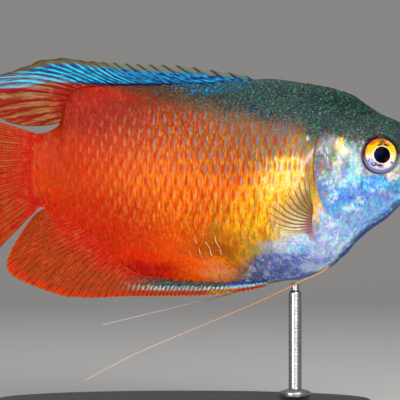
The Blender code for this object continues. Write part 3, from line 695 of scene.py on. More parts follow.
    grit = flecks_of(shares, 125, 2.6, (1, 1, 0.7), 3)
    low = both(rise(along, 0.76, 0.62), rise(up, -0.18, -0.25))
    where = sums("MAXIMUM", rise(along, 0.6, 0.42), low)
    colour = stain(both(where, 0.36, rise(above, 0.0, -0.06)), colour, grit)
    dust = flecks_of(shares, 210, 3.2)
    not_head = outside(head)
    speckle = both(rise(above, -0.045, 0.015), not_head, rise(along, 0.86, 0.5))
    colour = stain(both(speckle, 0.85), colour, dust)
    pick, bright = grain_of(shares, 380)
    sparse = both(rise(above, -0.085, 0.02), not_head, rise(along, 0.95, 0.45))
    teal = blob(along, up, (0.555, 0.207), (0.105, 0.022), (0.3, 1.3))
    colour = over(teal, colour, (6, 74, 104), 0.5)
    clumps = rise(mottle_of(shares, 60), 0.42, 0.62)
    spark = both(rise(scaled(clumps, 0.1, bright), 0.84, 1.02), sparse)
    spark_hue = chips(pick, (
        (0.42, (36, 150, 106)), (0.2, (96, 176, 176)), (0.14, (140, 120, 120)),
        (0.24, (44, 116, 140))))
    colour = over(spark, colour, spark_hue, 0.6)
    jewel = blob(along, up, (0.312, 0.072), (0.005, 0.009), (0.4, 1.2))
    colour = over(jewel, colour, (120, 226, 228), 0.9)
    jewels = both(rise(mottle_of(shares, 120, detail=1), 0.58, 0.64),
                  blob(along, up, (0.6, 0.207), (0.08, 0.018), (0.3, 1.2)))
    colour = over(jewels, colour, (14, 140, 190), 0.8)

    marks = both(blob(along, up, (0.54, 0.015), (0.36, 0.17), (0.15, 1.6)),
                 rise(above, 0.03, -0.05))
    sandy = both(blob(along, up, (0.35, -0.1), (0.075, 0.085), (0.1, 1.5)), 0.8)
    marks = both(marks, outside(sandy), rise(up, 0.185, 0.12), rise(below, 0.01, -0.02))
    for name, value in (("Color", colour), ("Marks", marks), ("Glitter", spark), ("Head", head)):
        wire(value, out, name)
    return tree


coat_colours = build_coat_colours()


def new_finish(name, roughness=0.4, **fixed):
    """Start a Principled material, with what is the same all over set on its sockets."""
    global tree
    material = bpy.data.materials.new(name)
    material.use_nodes = True
    tree = material.node_tree
    shader = tree.nodes["Principled BSDF"]
    shader.inputs["Roughness"].default_value = roughness
    for socket, value in fixed.items():
        shader.inputs[socket.replace("_", " ")].default_value = value
    return material, shader


def group_of(group):
    """Use a shader group in the material that is being made."""
    made = tree.nodes.new("ShaderNodeGroup")
    made.node_tree = group
    return made


def bump(height, depth):
    """Fine relief as a normal, its depth in twentieths of a millimetre."""
    fill = {"Height": height, "Strength": 1.0, "Distance": 0.05 * mm * depth}
    return put("Bump", fill).outputs[0]


skin_finish, shader = new_finish("hide", 0.34, Specular_IOR_Level=0.08)
colours = group_of(coat_colours)
wire(colours.outputs["Color"], shader, "Base Color")
shares, _, _ = fish_shares()
pebbles = put("TexVoronoi", {"Vector": shares, "Scale": 95}, feature="SMOOTH_F1")
fine = noise_of(shares, 180, 2)
relief = scaled(fine, 0.5, pebbles.outputs["Distance"])
wire(bump(relief, 1.5), shader, "Normal")
wire(scaled(fine, 0.35, 0.14), shader, "Roughness")
skin.data.materials.append(skin_finish)
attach(skin, "root")
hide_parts("head", "torso", "tail")


# The scales: thin horny plates in slanting rows over the flanks, the nape and the tail
# root, each rooted under the ones before it with its rear edge free. They are cast one
# by one in tinted resin and set into the hide from the tail forward.
pitch_back = 1.58 * mm / fish_length
pitch_up = 2.04 * mm
scale_rise = 0.055 * mm
scale_dip = -0.02 * mm
scale_thickness = 0.018 * mm
scale_cup = 0.02 * mm
rows_each_way = 9
stray_back, stray_up, stray_lift = 0.02, 0.01, 0.006 * mm

flank_places = np.linspace(0.10, 1.0, 271)
flank_shares = np.linspace(0, 1, 181)
flank = np.zeros((len(flank_places), len(flank_shares), 3))
girth = np.zeros(len(flank_places))
middle_share = np.zeros(len(flank_places))
for number, place in enumerate(flank_places):
    level = np.sin(np.linspace(-math.pi / 2, math.pi / 2, 361))
    spot = np.full(len(level), place)
    half_height = (back(place) - belly(place)) / 2
    height = (back(place) + belly(place)) / 2 + level * half_height
    ring = in_place(spot, height, half_section(spot, level))
    steps = np.linalg.norm(np.diff(ring, axis=0), axis=1)
    run = np.concatenate(([0.0], np.cumsum(steps)))
    girth[number] = run[-1]
    middle_share[number] = np.interp(0.0, level, run) / run[-1]
    for axis in range(3):
        flank[number, :, axis] = np.interp(flank_shares * run[-1], run, ring[:, axis])
flank_out = np.cross(np.gradient(flank, axis=1), np.gradient(flank, axis=0))
flank_out /= np.linalg.norm(flank_out, axis=2, keepdims=True) + 1e-12
flank_out *= np.where(flank_out[:, 60:120, 1].mean() < 0, -1, 1)
flank_sheet = np.concatenate([flank, flank_out], axis=2)


def on_flank(along, share, lift):
    """Points lifted off the left flank; share runs from 0 at the keel to 1 on the back."""
    first, last = flank_places[0], flank_places[-1]
    a = np.clip((along - first) / (last - first), 0, 1) * (len(flank_places) - 1)
    b = np.clip(share, 0, 1) * (len(flank_shares) - 1)
    i = np.minimum(a.astype(int), len(flank_places) - 2)
    j = np.minimum(b.astype(int), len(flank_shares) - 2)
    a, b = (a - i)[..., None], (b - j)[..., None]
    found = (flank_sheet[i, j] * (1 - a) * (1 - b) + flank_sheet[i + 1, j] * a * (1 - b)
             + flank_sheet[i, j + 1] * (1 - a) * b + flank_sheet[i + 1, j + 1] * a * b)
    return found[..., :3] + found[..., 3:] * lift[..., None]


column_places = [0.06]
while column_places[-1] < 1.1:
    narrow = 1 - 0.25 * ease(column_places[-1], 0.6, 1.0)
    column_places.append(column_places[-1] + pitch_back * narrow)


def column_place(column):
    return np.interp(column, np.arange(len(column_places)), column_places)


def row_share(along, row):
    """The share of the flank's girth at which a row of scales runs."""
    narrow = 1 - 0.30 * ease(along, 0.55, 1.0)
    reach = np.interp(along, flank_places, girth)
    return np.interp(along, flank_places, middle_share) + row * pitch_up * narrow / reach


def double_sheet(columns, rows):
    """A flat grid and its copy one higher, joined along the rim."""
    bpy.ops.mesh.primitive_grid_add(x_subdivisions=columns, y_subdivisions=rows, size=2)
    bpy.ops.object.mode_set(mode="EDIT")
    bpy.ops.mesh.select_all(action="SELECT")
    bpy.ops.mesh.extrude_region_move(TRANSFORM_OT_translate={"value": (0, 0, 1)})
    bpy.ops.object.mode_set(mode="OBJECT")
    return bpy.context.object


def map_corners(item, name, places, alone=True):
    """Give a piece a flat map, from one place on it for each corner."""
    loops = np.empty(len(item.data.loops), int)
    item.data.loops.foreach_get("vertex_index", loops)
    while alone and item.data.uv_layers:
        item.data.uv_layers.remove(item.data.uv_layers[0])
    item.data.uv_layers.new(name=name).data.foreach_set("uv", places[loops].ravel())


pattern_scale = double_sheet(4, 4)
one_scale = corners(pattern_scale)
one_scale_faces = np.array([list(face.vertices) for face in pattern_scale.data.polygons])
bpy.data.objects.remove(pattern_scale)

random = np.random.default_rng(7)
scale_seats = []
for column in range(2, len(column_places)):
    for row_number in range(-rows_each_way, rows_each_way + 1):
        seat = column + 0.5 * (row_number % 2)
        place = float(column_place(seat))
        if not 0.16 < place < 1.0:
            continue
        share = float(row_share(place, row_number))
        one_row = pitch_up / float(np.interp(place, flank_places, girth))
        low = one_row * float(0.62 + 0.30 * ease(place, 0.60, 0.72))
        high = one_row * float(0.62 + 0.30 * ease(place, 0.78, 0.88))
        if not low < share < 1 - high:
            continue
        spot = on_flank(np.array([place]), np.array([share]), np.zeros(1))[0]
        height = (spot[2] - mouth_z) / fish_length
        behind_gill = place - float(gill_edge(height)) > 0.007
        on_nape = height > 0.115 and place > 0.175
        if behind_gill or on_nape:
            scale_seats.append((seat, row_number))
scale_seats = np.array(scale_seats)


def set_scales(name, side):
    """One side's whole coat of scales, as a single mesh."""
    depth = (one_scale[:, 0] + 1) / 2
    across = one_scale[:, 1] * 1.05
    root = -1.05 + 0.45 * across ** 2
    edge = 0.5 * (1 - across ** 2)
    back_off = root + depth * (edge - root)
    jitter = random.normal(0, 1, (len(scale_seats), 3))
    column = scale_seats[:, :1] + back_off[None, :] + stray_back * jitter[:, :1]
    row = scale_seats[:, 1:] + across[None, :] + stray_up * jitter[:, 1:2]
    seat_place = column_place(scale_seats[:, 0])
    flatter = 1 - 0.5 * ease(seat_place, 0.66, 0.85) - 0.4 * (1 - ease(seat_place, 0.32, 0.42))
    lift = scale_dip + scale_rise * depth ** 0.9 * flatter[:, None] - scale_cup * across ** 2
    lift = lift - np.where(one_scale[:, 2] < 0.5, scale_thickness, 0)
    lift = lift + stray_lift * jitter[:, 2:] * depth[None, :]
    along = column_place(column)
    share = np.clip(row_share(along, row), 0.004, 0.996)
    spots = on_flank(along, share, lift)
    spots[..., 1] *= side
    count = len(one_scale)
    faces = one_scale_faces[None] + count * np.arange(len(scale_seats))[:, None, None]
    mesh = bpy.data.meshes.new(name)
    mesh.from_pydata(spots.reshape(-1, 3).tolist(), [], faces.reshape(-1, 4).tolist())
    coat = bpy.data.objects.new(name, mesh)
    bpy.context.scene.collection.objects.link(coat)
    own = np.stack([(back_off + 1.2) / 2, (across + 1.2) / 2.4], -1)
    map_corners(coat, "Scale", np.tile(own, (len(scale_seats), 1)))
    seat_share = row_share(seat_place, scale_seats[:, 1])
    half = 0.5 if side > 0 else 0.0
    root_spot = np.stack([half + 0.02 + 0.46 * seat_place, 0.02 + 0.96 * seat_share], -1)
    patch = 0.0015 * np.stack([back_off / 1.05, across / 1.05], -1)
    bake = (root_spot[:, None, :] + patch[None]).reshape(-1, 2)
    map_corners(coat, "OFBake", bake, alone=False)
    mesh.uv_layers["Scale"].active_render = True
    close_up(coat, 1e-9)
    bpy.ops.object.shade_smooth_by_angle(angle=math.radians(40))
    return coat


scale_finish, shader = new_finish("scales", 0.3, Specular_IOR_Level=0.08)
colours = group_of(coat_colours)
own = put("SeparateXYZ", {0: put("UVMap", uv_map="Scale").outputs[0]})
back_off = scaled(own.outputs[0], 2.0, -1.2)
across = scaled(own.outputs[1], 2.4, -1.2)
slant = scaled(across, 0.1, back_off)
square = both(across, across)
free_edge = scaled(square, -0.5, 0.5)
from_edge = sums("SUBTRACT", free_edge, back_off)


def lens(slant, across, middle, width, height):
    """An upright lens-shaped mark on a scale."""
    off = sums("DIVIDE", sums("SUBTRACT", slant, middle), width)
    tall = sums("DIVIDE", across, height)
    total = sums("ADD", sums("ABSOLUTE", off), both(tall, tall))
    return rise(total, 1.45, 0.15)


marks = colours.outputs["Marks"]
shares, along, up = fish_shares()
uneven = noise_of(shares, 45, 2)
uneven = rise(uneven, 0.24, 0.58)
front_part = rise(along, 0.92, 0.66)
edge_line = both(rise(from_edge, 0.4, 0.0), both(marks, 0.22, front_part))
edge_hue = over(rise(up, 0.0, 0.11), (255, 142, 12), (206, 104, 16))
coat = over(edge_line, colours.outputs["Color"], edge_hue)
red_lens = lens(slant, across, 0.2, 0.17, 0.5)
patchy = scaled(uneven, -0.25, 0.88)
coat = over(both(red_lens, both(marks, patchy)), coat, (180, 26, 0))
blue_lens = both(lens(slant, across, -0.17, 0.15, 0.5), both(marks, uneven))
far_back = rise(scaled(up, -1.0, along), 0.56, 0.78)
mark_hue = over(far_back, (132, 112, 122), (226, 136, 84))
mark_hue = over(rise(up, -0.02, -0.09), mark_hue, (226, 160, 84))
blue_lens = both(blue_lens, scaled(far_back, -0.35, 0.9))
coat = over(blue_lens, coat, mark_hue)
glint = both(rise(from_edge, 0.12, 0.05), rise(across, 0.0, -0.15),
             blob(along, up, (0.565, -0.205), (0.05, 0.04)), rise(uneven, 0.6, 0.8))
coat = over(glint, coat, (255, 214, 150))
wire(coat, shader, "Base Color")
lines = put("TexWave", {"Vector": put("CombineXYZ", {0: back_off, 1: square}).outputs[0],
                        "Scale": 3.2, "Distortion": 0.6})
wire(bump(lines.outputs[1], 0.35), shader, "Normal")
rough = scaled(colours.outputs["Glitter"], -0.15, 0.34)
wire(rough, shader, "Roughness")

for name, side in (("scales_right", -1), ("scales_left", 1)):
    coat = set_scales(name, side)
    coat.data.materials.append(scale_finish)
    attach(coat, "root")


# The eyes: balls with a round lens standing a little proud, a golden iris and a dark
# ring. Each is blown in glass, painted from behind and pressed into its socket, and
# its face is dulled so that no reflection hides the colours.
eye_dome, lens_dome, iris_ridge = 0.78 * mm, 0.24 * mm, 0.05 * mm
eye_waist = -0.35 * mm
eye_depth = 1.9 * mm


def flank_side(along, up):
    """How far the body's side stands from its middle at a place on the flank."""
    top, bottom = back(along), belly(along)
    return half_section(along, np.clip((2 * up - top - bottom) / (top - bottom), -1, 1))


def eye_frame(side):
    """Where an eye sits, the way it looks, the way to the snout and the way up."""
    along, up = eye_place
    step = 0.03
    surface = float(flank_side(along, up))
    forward = (surface - float(flank_side(along - step, up))) / (step * fish_length)
    upward = (surface - float(flank_side(along, up + step))) / (step * fish_length)
    axis = Vector((forward * 0.6, side, upward * 0.5)).normalized()
    ahead = (Vector((1, 0, 0)) - axis * axis.x).normalized()
    above = axis.cross(ahead) if axis.cross(ahead).z > 0 else ahead.cross(axis)
    spot = in_place(np.array(along), np.array(up), np.array(side * surface))
    return Vector(spot), axis, ahead, above


def set_eye(name, side):
    """One eyeball with a domed front, turned the way that it looks."""
    bpy.ops.mesh.primitive_uv_sphere_add(segments=72, ring_count=48, radius=1)
    eye = bpy.context.object
    eye.name = name
    ball = corners(eye)
    radius = np.hypot(ball[:, 0], ball[:, 1])
    dome = (eye_dome * ball[:, 2] + lens_dome * hump(radius, 0.46)
            + iris_ridge * hump(radius - 0.62, 0.2))
    depth = eye_waist + np.where(ball[:, 2] > 0, dome, eye_depth * ball[:, 2])
    spot, axis, ahead, above = eye_frame(side)
    turned = (np.outer(ball[:, 0] * eye_radius, ahead) + np.outer(ball[:, 1] * eye_radius, above)
              + np.outer(depth, axis) + np.array(spot))
    map_corners(eye, "Iris", np.stack([ball[:, 0], ball[:, 1]], -1) / 2 + 0.5)
    move_corners(eye, turned)
    close_up(eye)
    return eye


eye_finish, shader = new_finish("glass eye", 0.3, Specular_IOR_Level=0.01)
iris = put("Mapping", {"Vector": put("UVMap", uv_map="Iris").outputs[0], "Location": (-1, -1, 0),
                       "Scale": (2, 2, 1)}).outputs[0]
split = put("SeparateXYZ", {0: iris})
ahead, above = split.outputs[0], split.outputs[1]
mottle = noise_of(iris, 7, 4)


def out_from(middle, stretch=1.0):
    """Distance on the eye from a point of it, a little wavy."""
    off = put("Mapping", {"Vector": iris, "Location": (-middle[0], -middle[1] * stretch, 0),
                          "Scale": (1, stretch, 1)}).outputs[0]
    length = put("VectorMath", {0: off}, operation="LENGTH").outputs["Value"]
    return scaled(mottle, 0.06, sums("ADD", length, -0.03))


wavy_up = scaled(mottle, 0.4, sums("ADD", above, -0.2))
eye_colour = washes(scaled(wavy_up, 0.5, 0.5), (
    (0.22, (222, 206, 222)), (0.42, (250, 228, 204)), (0.52, (248, 206, 120)),
    (0.62, (248, 190, 22)), (0.78, (246, 186, 10)), (0.92, (206, 96, 14))))
eye_colour = patches(ahead, above, eye_colour, (
    ((-0.58, 0.7), (0.3, 0.16), (196, 76, 14), 0.8),
    ((-0.86, 0.36), (0.14, 0.3), (214, 112, 40), 0.7),
    # Painted highlight: the cream-white patch left of the pupil.
    ((-0.4, 0.02), (0.16, 0.22), (250, 226, 190), 0.8),
    ((0.46, 0.72), (0.24, 0.12), (222, 158, 96), 0.8),
    ((0.74, 0.4), (0.14, 0.22), (250, 208, 20), 0.8),
    ((0.84, -0.05), (0.1, 0.34), (226, 216, 84), 0.8),
    ((0.66, -0.1), (0.12, 0.26), (250, 226, 160), 0.8),
    ((0.44, -0.6), (0.24, 0.12), (240, 236, 190), 0.8),
    ((-0.5, -0.42), (0.24, 0.2), (190, 196, 228), 0.9),
    ((0.0, -0.62), (0.16, 0.12), (140, 84, 104), 0.8)))
specks = noise_of(iris, 11, 3)
dark_specks = (
    ((0.08, 0.72), (0.20, 0.14), (96, 84, 20), 0.34),
    ((-0.06, 0.54), (0.18, 0.10), (52, 56, 30), 0.38),
    ((0.30, 0.56), (0.20, 0.10), (40, 22, 18), 0.40),
    ((-0.62, -0.30), (0.16, 0.14), (64, 70, 150), 0.50),
    ((-0.40, -0.52), (0.22, 0.14), (44, 46, 124), 0.44),
    ((-0.12, -0.56), (0.20, 0.09), (50, 32, 60), 0.40),
    ((0.62, -0.42), (0.08, 0.07), (48, 36, 40), 0.40),
)
for spot, size, hue, lowest in dark_specks:
    patch = both(blob(ahead, above, spot, size, (0.1, 1.5)),
                 rise(specks, lowest - 0.05, lowest + 0.05))
    eye_colour = over(patch, eye_colour, hue)
from_pupil = out_from((0.05, 0.0))
rim_of_pupil = both(rise(from_pupil, 0.55, 0.5), rise(mottle, 0.38, 0.5))
eye_colour = over(rim_of_pupil, eye_colour, (252, 232, 190), 0.8)
# The pupil: near black, with a painted dark blue sheen on its left side and a maroon patch at its
# lower right.
pupil = over(blob(ahead, above, (-0.3, -0.02), (0.1, 0.26)), (4, 6, 20), (10, 18, 92))
pupil = over(blob(ahead, above, (0.36, -0.26), (0.14, 0.14)), pupil, (70, 10, 18))
eye_colour = over(rise(from_pupil, 0.49, 0.455), eye_colour, pupil)
from_middle = out_from((0.01, 0.085), 1.05)
ring = over(rise(above, -0.45, 0.05), (126, 128, 170), (96, 44, 40))
ring = over(rise(above, 0.3, 0.6), ring, (34, 26, 70))
pale_arc = both(rise(from_middle, 0.965, 0.925), rise(above, -0.45, -0.65))
ring = over(pale_arc, ring, (206, 208, 240), 0.8)
eye_colour = over(rise(from_middle, 0.865, 0.895), eye_colour, ring)
outer_edge = both(rise(out_from((0.0, 0.0)), 0.93, 0.98), rise(above, 0.2, -0.2))
eye_colour = over(outer_edge, eye_colour, (176, 104, 96), 0.7)
wire(eye_colour, shader, "Base Color")
wire(scaled(mottle, 0.2, 0.05), shader, "Roughness")

for name, side in (("eye_right", -1), ("eye_left", 1)):
    eye = set_eye(name, side)
    eye.data.materials.append(eye_finish)
    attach(eye, "root")
    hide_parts("eye_R" if side < 0 else "eye_L")


# The fins on the back, under the tail and at its end: thin webs on bony rays that run
# from the body to the margin and split towards it. Each is cast as one clear tinted
# sheet with its rays raised on both faces, and let into a slot in the body.
dorsal_root = (0.434, 0.941)
dorsal_margin = (
    (0.462, 0.233), (0.536, 0.246), (0.591, 0.254), (0.647, 0.261), (0.754, 0.264),
    (0.813, 0.268), (0.877, 0.272), (0.930, 0.279), (0.987, 0.274), (1.040, 0.254),
    (1.095, 0.235), (1.150, 0.212), (1.192, 0.178), (1.150, 0.140), (1.095, 0.122),
    (1.040, 0.105), (0.997, 0.104), (0.967, 0.107),
)
dorsal_spread = (
    (0.00, 0.00, 0.00), (0.18, 0.21, 0.195), (0.37, 0.44, 0.34), (0.50, 0.59, 0.43),
    (0.61, 0.725, 0.57), (0.71, 0.805, 0.685), (0.79, 0.86, 0.76), (0.88, 0.92, 0.85),
    (1.00, 1.00, 1.00),
)
dorsal_rays = 25
anal_root = (0.402, 0.974)
anal_margin = (
    (0.416, -0.306), (0.450, -0.314), (0.506, -0.323), (0.560, -0.329), (0.647, -0.331),
    (0.754, -0.331), (0.857, -0.335), (0.921, -0.333), (0.964, -0.322), (1.013, -0.304),
    (1.056, -0.284), (1.075, -0.268), (1.079, -0.247), (1.069, -0.217), (1.051, -0.184),
    (1.023, -0.143), (1.006, -0.122),
)
anal_spread = (
    (0.00, 0.00, 0.00), (0.29, 0.29, 0.235), (0.50, 0.50, 0.390), (0.60, 0.60, 0.49),
    (0.69, 0.69, 0.61), (0.78, 0.78, 0.735), (0.86, 0.86, 0.83), (0.93, 0.93, 0.915),
    (1.00, 1.00, 1.00),
)
anal_rays = 61
tail_margin = (
    (1.195, 0.146), (1.222, 0.110), (1.240, 0.060), (1.250, 0.010), (1.253, -0.040),
    (1.246, -0.095), (1.226, -0.150), (1.193, -0.205), (1.145, -0.258),
)
tail_rays = 41
web_ripple = 0.10 * mm


def path_through(points):
    """A smooth path through points, from 0 at its start to 1 at its end."""
    points = np.array(points, float)
    lengths = np.linalg.norm(np.diff(points, axis=0), axis=1)
    shares = np.concatenate(([0.0], np.cumsum(lengths))) / lengths.sum()
    lines = [curve_through(np.stack([shares, column], -1)) for column in points.T]
    return lambda share: np.stack([line(share) for line in lines], -1)


def ray_height(phase, out, soft, forks):
    """Height of the rays at a place: phase is 0 on a ray and half way between at 0.5."""
    off = np.abs(phase)
    for start, end, split in forks:
        off = np.abs(off - split * ease(out, start, end) * soft)
    width = 0.16 - 0.10 * ease(out, 0.0, 0.7) * soft - 0.05 * ease(out, 0.0, 1.0)
    return hump(off, width) * (1 - 0.45 * ease(out, 0.5, 1.0))


def fin_sheet(name, root, tip, rays, fine, rows, middle, bow, notch, soft, forks,
              ray_half=0.26 * mm, web_half=0.07 * mm, sheath=0.26 * mm):
    """A thin closed web with a ridge along each ray, alike on both faces."""
    fin = double_sheet((rays - 1) * fine, rows)
    fin.name = name
    grid = corners(fin)
    share, out = (grid[:, 0] + 1) / 2, (grid[:, 1] + 1) / 2
    face = np.where(grid[:, 2] > 0.5, 1, -1)
    phase = share * (rays - 1)
    phase = phase - np.round(phase)
    softness = soft(share)
    raised = ray_height(phase, out, softness, forks)
    reach = out * (1 - notch(share) * (2 * np.abs(phase)) ** 1.3)
    foot, end = root(share), tip(share)
    lean = bow(share) * np.sin(math.pi * reach)
    run = end - foot
    along = foot[:, 0] + run[:, 0] * reach + lean * run[:, 1]
    up = foot[:, 1] + run[:, 1] * reach - lean * run[:, 0]
    half = web_half * (1 - 0.4 * out) + ray_half * raised * (1 - 0.75 * out)
    half = half + sheath * (1 - ease(out, 0.0, 0.20))
    ripple = web_ripple * np.sin(phase * 2 * math.pi) * out
    move_corners(fin, in_place(along, up, middle(along, up, reach) + face * half + ripple))
    map_corners(fin, "Web", np.stack([share, out], -1))
    rays_on = fin.data.attributes.new("ray", "FLOAT", "POINT")
    rays_on.data.foreach_set("value", raised.astype(np.float32))
    close_up(fin, 1e-9)
    return fin


def spread_of(rows):
    """Each ray's place on the root line and on the margin, by its share of all rays."""
    return (curve_through([(share, root) for share, root, _ in rows]),
            curve_through([(share, tip) for share, _, tip in rows]))


def level_middle(along, up, out):
    """The middle of a fin that stands in the fish's middle plane."""
    return 0.0 * along


dorsal_line = path_through([(s, float(back(s))) for s in np.linspace(*dorsal_root, 60)])
anal_line = path_through([(s, float(belly(s))) for s in np.linspace(*anal_root, 60)])
dorsal_bow = curve_through((
    (0.0, 0.06), (0.48, 0.06), (0.66, -0.07), (0.76, -0.07), (0.9, -0.02), (1.0, 0.0)))
dorsal_seat, dorsal_fan = spread_of(dorsal_spread)
anal_seat, anal_fan = spread_of(anal_spread)
dorsal_rim = path_through(dorsal_margin)
anal_rim = path_through(anal_margin)
tail_rim = path_through(tail_margin)


def dorsal_foot(share):
    """Where the back fin's rays stand in the body."""
    seat = dorsal_line(dorsal_seat(share))
    sink = np.stack([-0.010 * ease(share, 0.72, 0.9), -0.007 * (1 - ease(share, 0.8, 0.95))], -1)
    return seat + sink


def anal_foot(share):
    """Where the rays of the fin under the tail stand in the body."""
    seat = anal_line(anal_seat(share))
    return seat + np.stack([-0.004 * ease(share, 0.5, 0.8), 0.009 + 0 * share], -1)


def tail_foot(share):
    """Where the tail fin's rays stand in the tail root."""
    top, bottom = float(back(1.0)), float(belly(1.0))
    return np.stack([0 * share + 0.985, top - 0.006 + (bottom - top + 0.012) * share], -1)


dorsal = fin_sheet("dorsal_fin_web", dorsal_foot, lambda s: dorsal_rim(dorsal_fan(s)),
                   dorsal_rays, 12, 36, level_middle, dorsal_bow,
                   lambda s: 0.11 - 0.08 * ease(s, 0.25, 0.50), lambda s: ease(s, 0.50, 0.62),
                   ((0.45, 0.95, 0.16),))
anal = fin_sheet("anal_fin_web", anal_foot, lambda s: anal_rim(anal_fan(s)),
                 anal_rays, 8, 40, level_middle, lambda s: -0.05 + 0 * s,
                 lambda s: 0.07 - 0.055 * ease(s, 0.3, 0.6), np.zeros_like, (),
                 ray_half=0.13 * mm)
tail = fin_sheet("tail_fin_web", tail_foot, tail_rim, tail_rays, 10, 44, level_middle,
                 np.zeros_like, lambda s: 0.01 + 0 * s, np.zeros_like, ((0.60, 0.95, 0.25),),
                 ray_half=0.10 * mm)


def web_places():
    """Where a point lies on a fin: along the fin, and out from the body."""
    place = put("UVMap", uv_map="Web").outputs[0]
    split = put("SeparateXYZ", {0: place})
    return split.outputs[0], split.outputs[1]


def streaks(share, out, rays, stretch=2.2, offset=0.0):
    """Fine uneven streaks that run with the rays."""
    line = put("CombineXYZ", {0: both(share, rays * 1.0), 1: both(out, stretch), 2: offset})
    return put("TexNoise", {"Vector": line.outputs[0], "Scale": 2.6, "Detail": 3,
                            "Roughness": 0.6}).outputs[0]


def off_ray(share, rays, wander=0.0):
    """How far a point of the web is from its ray: 0 on it, 0.5 half way to the next."""
    count = scaled(share, rays - 1.0, sums("ADD", wander, 0.5))
    return sums("ABSOLUTE", sums("SUBTRACT", sums("FRACT", count), 0.5))


def web_relief(shader, share, out, rays):
    """Joints along the rays and a faint grain on the web."""
    joints = put("TexWave", {"Vector": put("CombineXYZ", {1: out}).outputs[0], "Scale": 9.0,
                             "Distortion": 1.5, "Detail": 1.0}, bands_direction="Y").outputs[1]
    grain = streaks(share, out, rays * 2.5, 9)
    relief = scaled(joints, 0.4, grain)
    wire(bump(relief, 0.8), shader, "Normal")
    wire(scaled(grain, 0.3, 0.22), shader, "Roughness")


dorsal_finish, shader = new_finish("blue fin", 0.35, Specular_IOR_Level=0.12)
share, out = web_places()
streak = streaks(share, out, dorsal_rays)
ray_mask = rise(put("Attribute", attribute_name="ray").outputs["Fac"], 0.15, 0.55)
soft_part = rise(share, 0.36, 0.48)
web = over(rise(streak, 0.36, 0.62), (8, 44, 112), (40, 96, 132))
past = sums("MAXIMUM", sums("ADD", share, -0.61), 0.0)
count = scaled(past, -0.5 * (dorsal_rays - 1.0), both(share, 1.5 * (dorsal_rays - 1.0)))
phase = sums("FRACT", scaled(streak, 0.7, count))
ribbon = both(rise(phase, 0.1, 0.25), rise(phase, 0.55, 0.4), soft_part, rise(streak, 0.36, 0.46))
dashes = both(rise(streak, 0.47, 0.55), outside(soft_part))
web = over(dashes, web, (6, 138, 184), 0.9)
dusty = over(rise(streak, 0.42, 0.56), (84, 84, 60), (126, 124, 156))
web = over(rise(share, 0.64, 0.69), web, dusty, 0.85)
web = over(ribbon, web, (40, 204, 236))
web = over(both(rise(streak, 0.6, 0.68), rise(out, 0.7, 0.5)), web, (70, 214, 236))
# A navy band along the root: the fin's own navy base, deepened as painted shade where the fin meets
# the back.
web = over(rise(out, 0.2, 0.06), web, (8, 14, 78))
rim_points = (
    (0.0, 0.58), (0.06, 0.64), (0.13, 0.73), (0.29, 0.77), (0.39, 0.81), (0.50, 0.83),
    (0.56, 0.82), (0.60, 0.83), (0.66, 0.88), (0.72, 0.95), (1.0, 0.98))
rim_line = drawn_line(share, rim_points, 0.5, 1.0)
rim_off = sums("SUBTRACT", scaled(streak, 0.1, out), rim_line)
rim_hue = over(soft_part, (112, 110, 90), (96, 78, 34))
rim_hue = over(rise(streak, 0.48, 0.6), rim_hue, (60, 116, 96), 0.5)
rim_hue = over(both(ray_mask, outside(soft_part)), rim_hue, (44, 34, 22))
web = over(rise(rim_off, -0.04, 0.14), web, rim_hue)
web = over(both(rise(out, 0.955, 0.985), soft_part), web, (84, 32, 20))
thin = streaks(share, out, dorsal_rays * 1.6, 1.6, 2.0)
flame = over(rise(thin, 0.34, 0.66), (122, 66, 22), (158, 104, 56))
lilac = both(rise(thin, 0.5, 0.6), rise(share, 0.86, 0.74))
flame = over(lilac, flame, (140, 124, 140), 0.7)
wander = scaled(streaks(share, out, dorsal_rays * 0.6, 3.0, 4.0), 0.6, -0.3)
split = both(rise(out, 0.35, 0.85), 0.22)
off = sums("SUBTRACT", off_ray(share, dorsal_rays, wander), split)
off = scaled(thin, 0.1, sums("ABSOLUTE", off))
flame = over(rise(off, 0.3, 0.14), flame, (138, 6, 3), 0.95)
flame = over(rise(scaled(streak, 0.35, out), 0.5, 0.24), flame, (144, 24, 9))
blot = rise(mottle_of(fish_shares()[0], 70), 0.54, 0.62)
flame = over(both(blot, rise(out, 0.45, 0.25)), flame, (176, 92, 36), 0.6)
flame = over(rise(out, 0.94, 0.98), flame, (130, 62, 24))
lobe_points = (
    (0.0, 0.56), (0.06, 0.62), (0.14, 0.675), (0.25, 0.700), (0.32, 0.735), (0.40, 0.765),
    (0.55, 0.775), (0.70, 0.770), (1.0, 0.76))
lobe_line = drawn_line(out, lobe_points, 0.4, 0.9)
lobe = sums("SUBTRACT", share, lobe_line)
wire(over(rise(lobe, -0.008, 0.012), web, flame), shader, "Base Color")
web_relief(shader, share, out, dorsal_rays)
dorsal.data.materials.append(dorsal_finish)

red_finish, shader = new_finish("flame fin", 0.35, Specular_IOR_Level=0.12)
share, out = web_places()
streak = streaks(share, out, anal_rays)
wander = scaled(streaks(share, out, anal_rays * 0.4, 3.0, 4.0), 0.6, -0.3)
from_ray = off_ray(share, anal_rays, wander)
shares, _, _ = fish_shares()
web = over(rise(scaled(streak, 0.3, out), 0.24, 0.66), (190, 26, 2), (156, 58, 4))
web = over(rise(streak, 0.5, 0.66), web, (196, 62, 8))
blot = both(rise(mottle_of(shares, 55), 0.52, 0.62), rise(out, 0.55, 0.3))
web = over(blot, web, (170, 80, 44), 0.5)
web = over(rise(out, 0.84, 0.96), web, (206, 50, 0), 0.8)
ray_paint = both(rise(from_ray, 0.24, 0.06), rise(out, 0.04, 0.34))
web = over(both(ray_paint, rise(streak, 0.7, 0.4)), web, (134, 24, 5))
web = over(rise(out, 0.975, 0.99), web, (190, 116, 22), 0.6)
web = stain(0.3, web, flecks_of(shares, 150, 2.2))
front = rise(share, 0.6, 0.4)
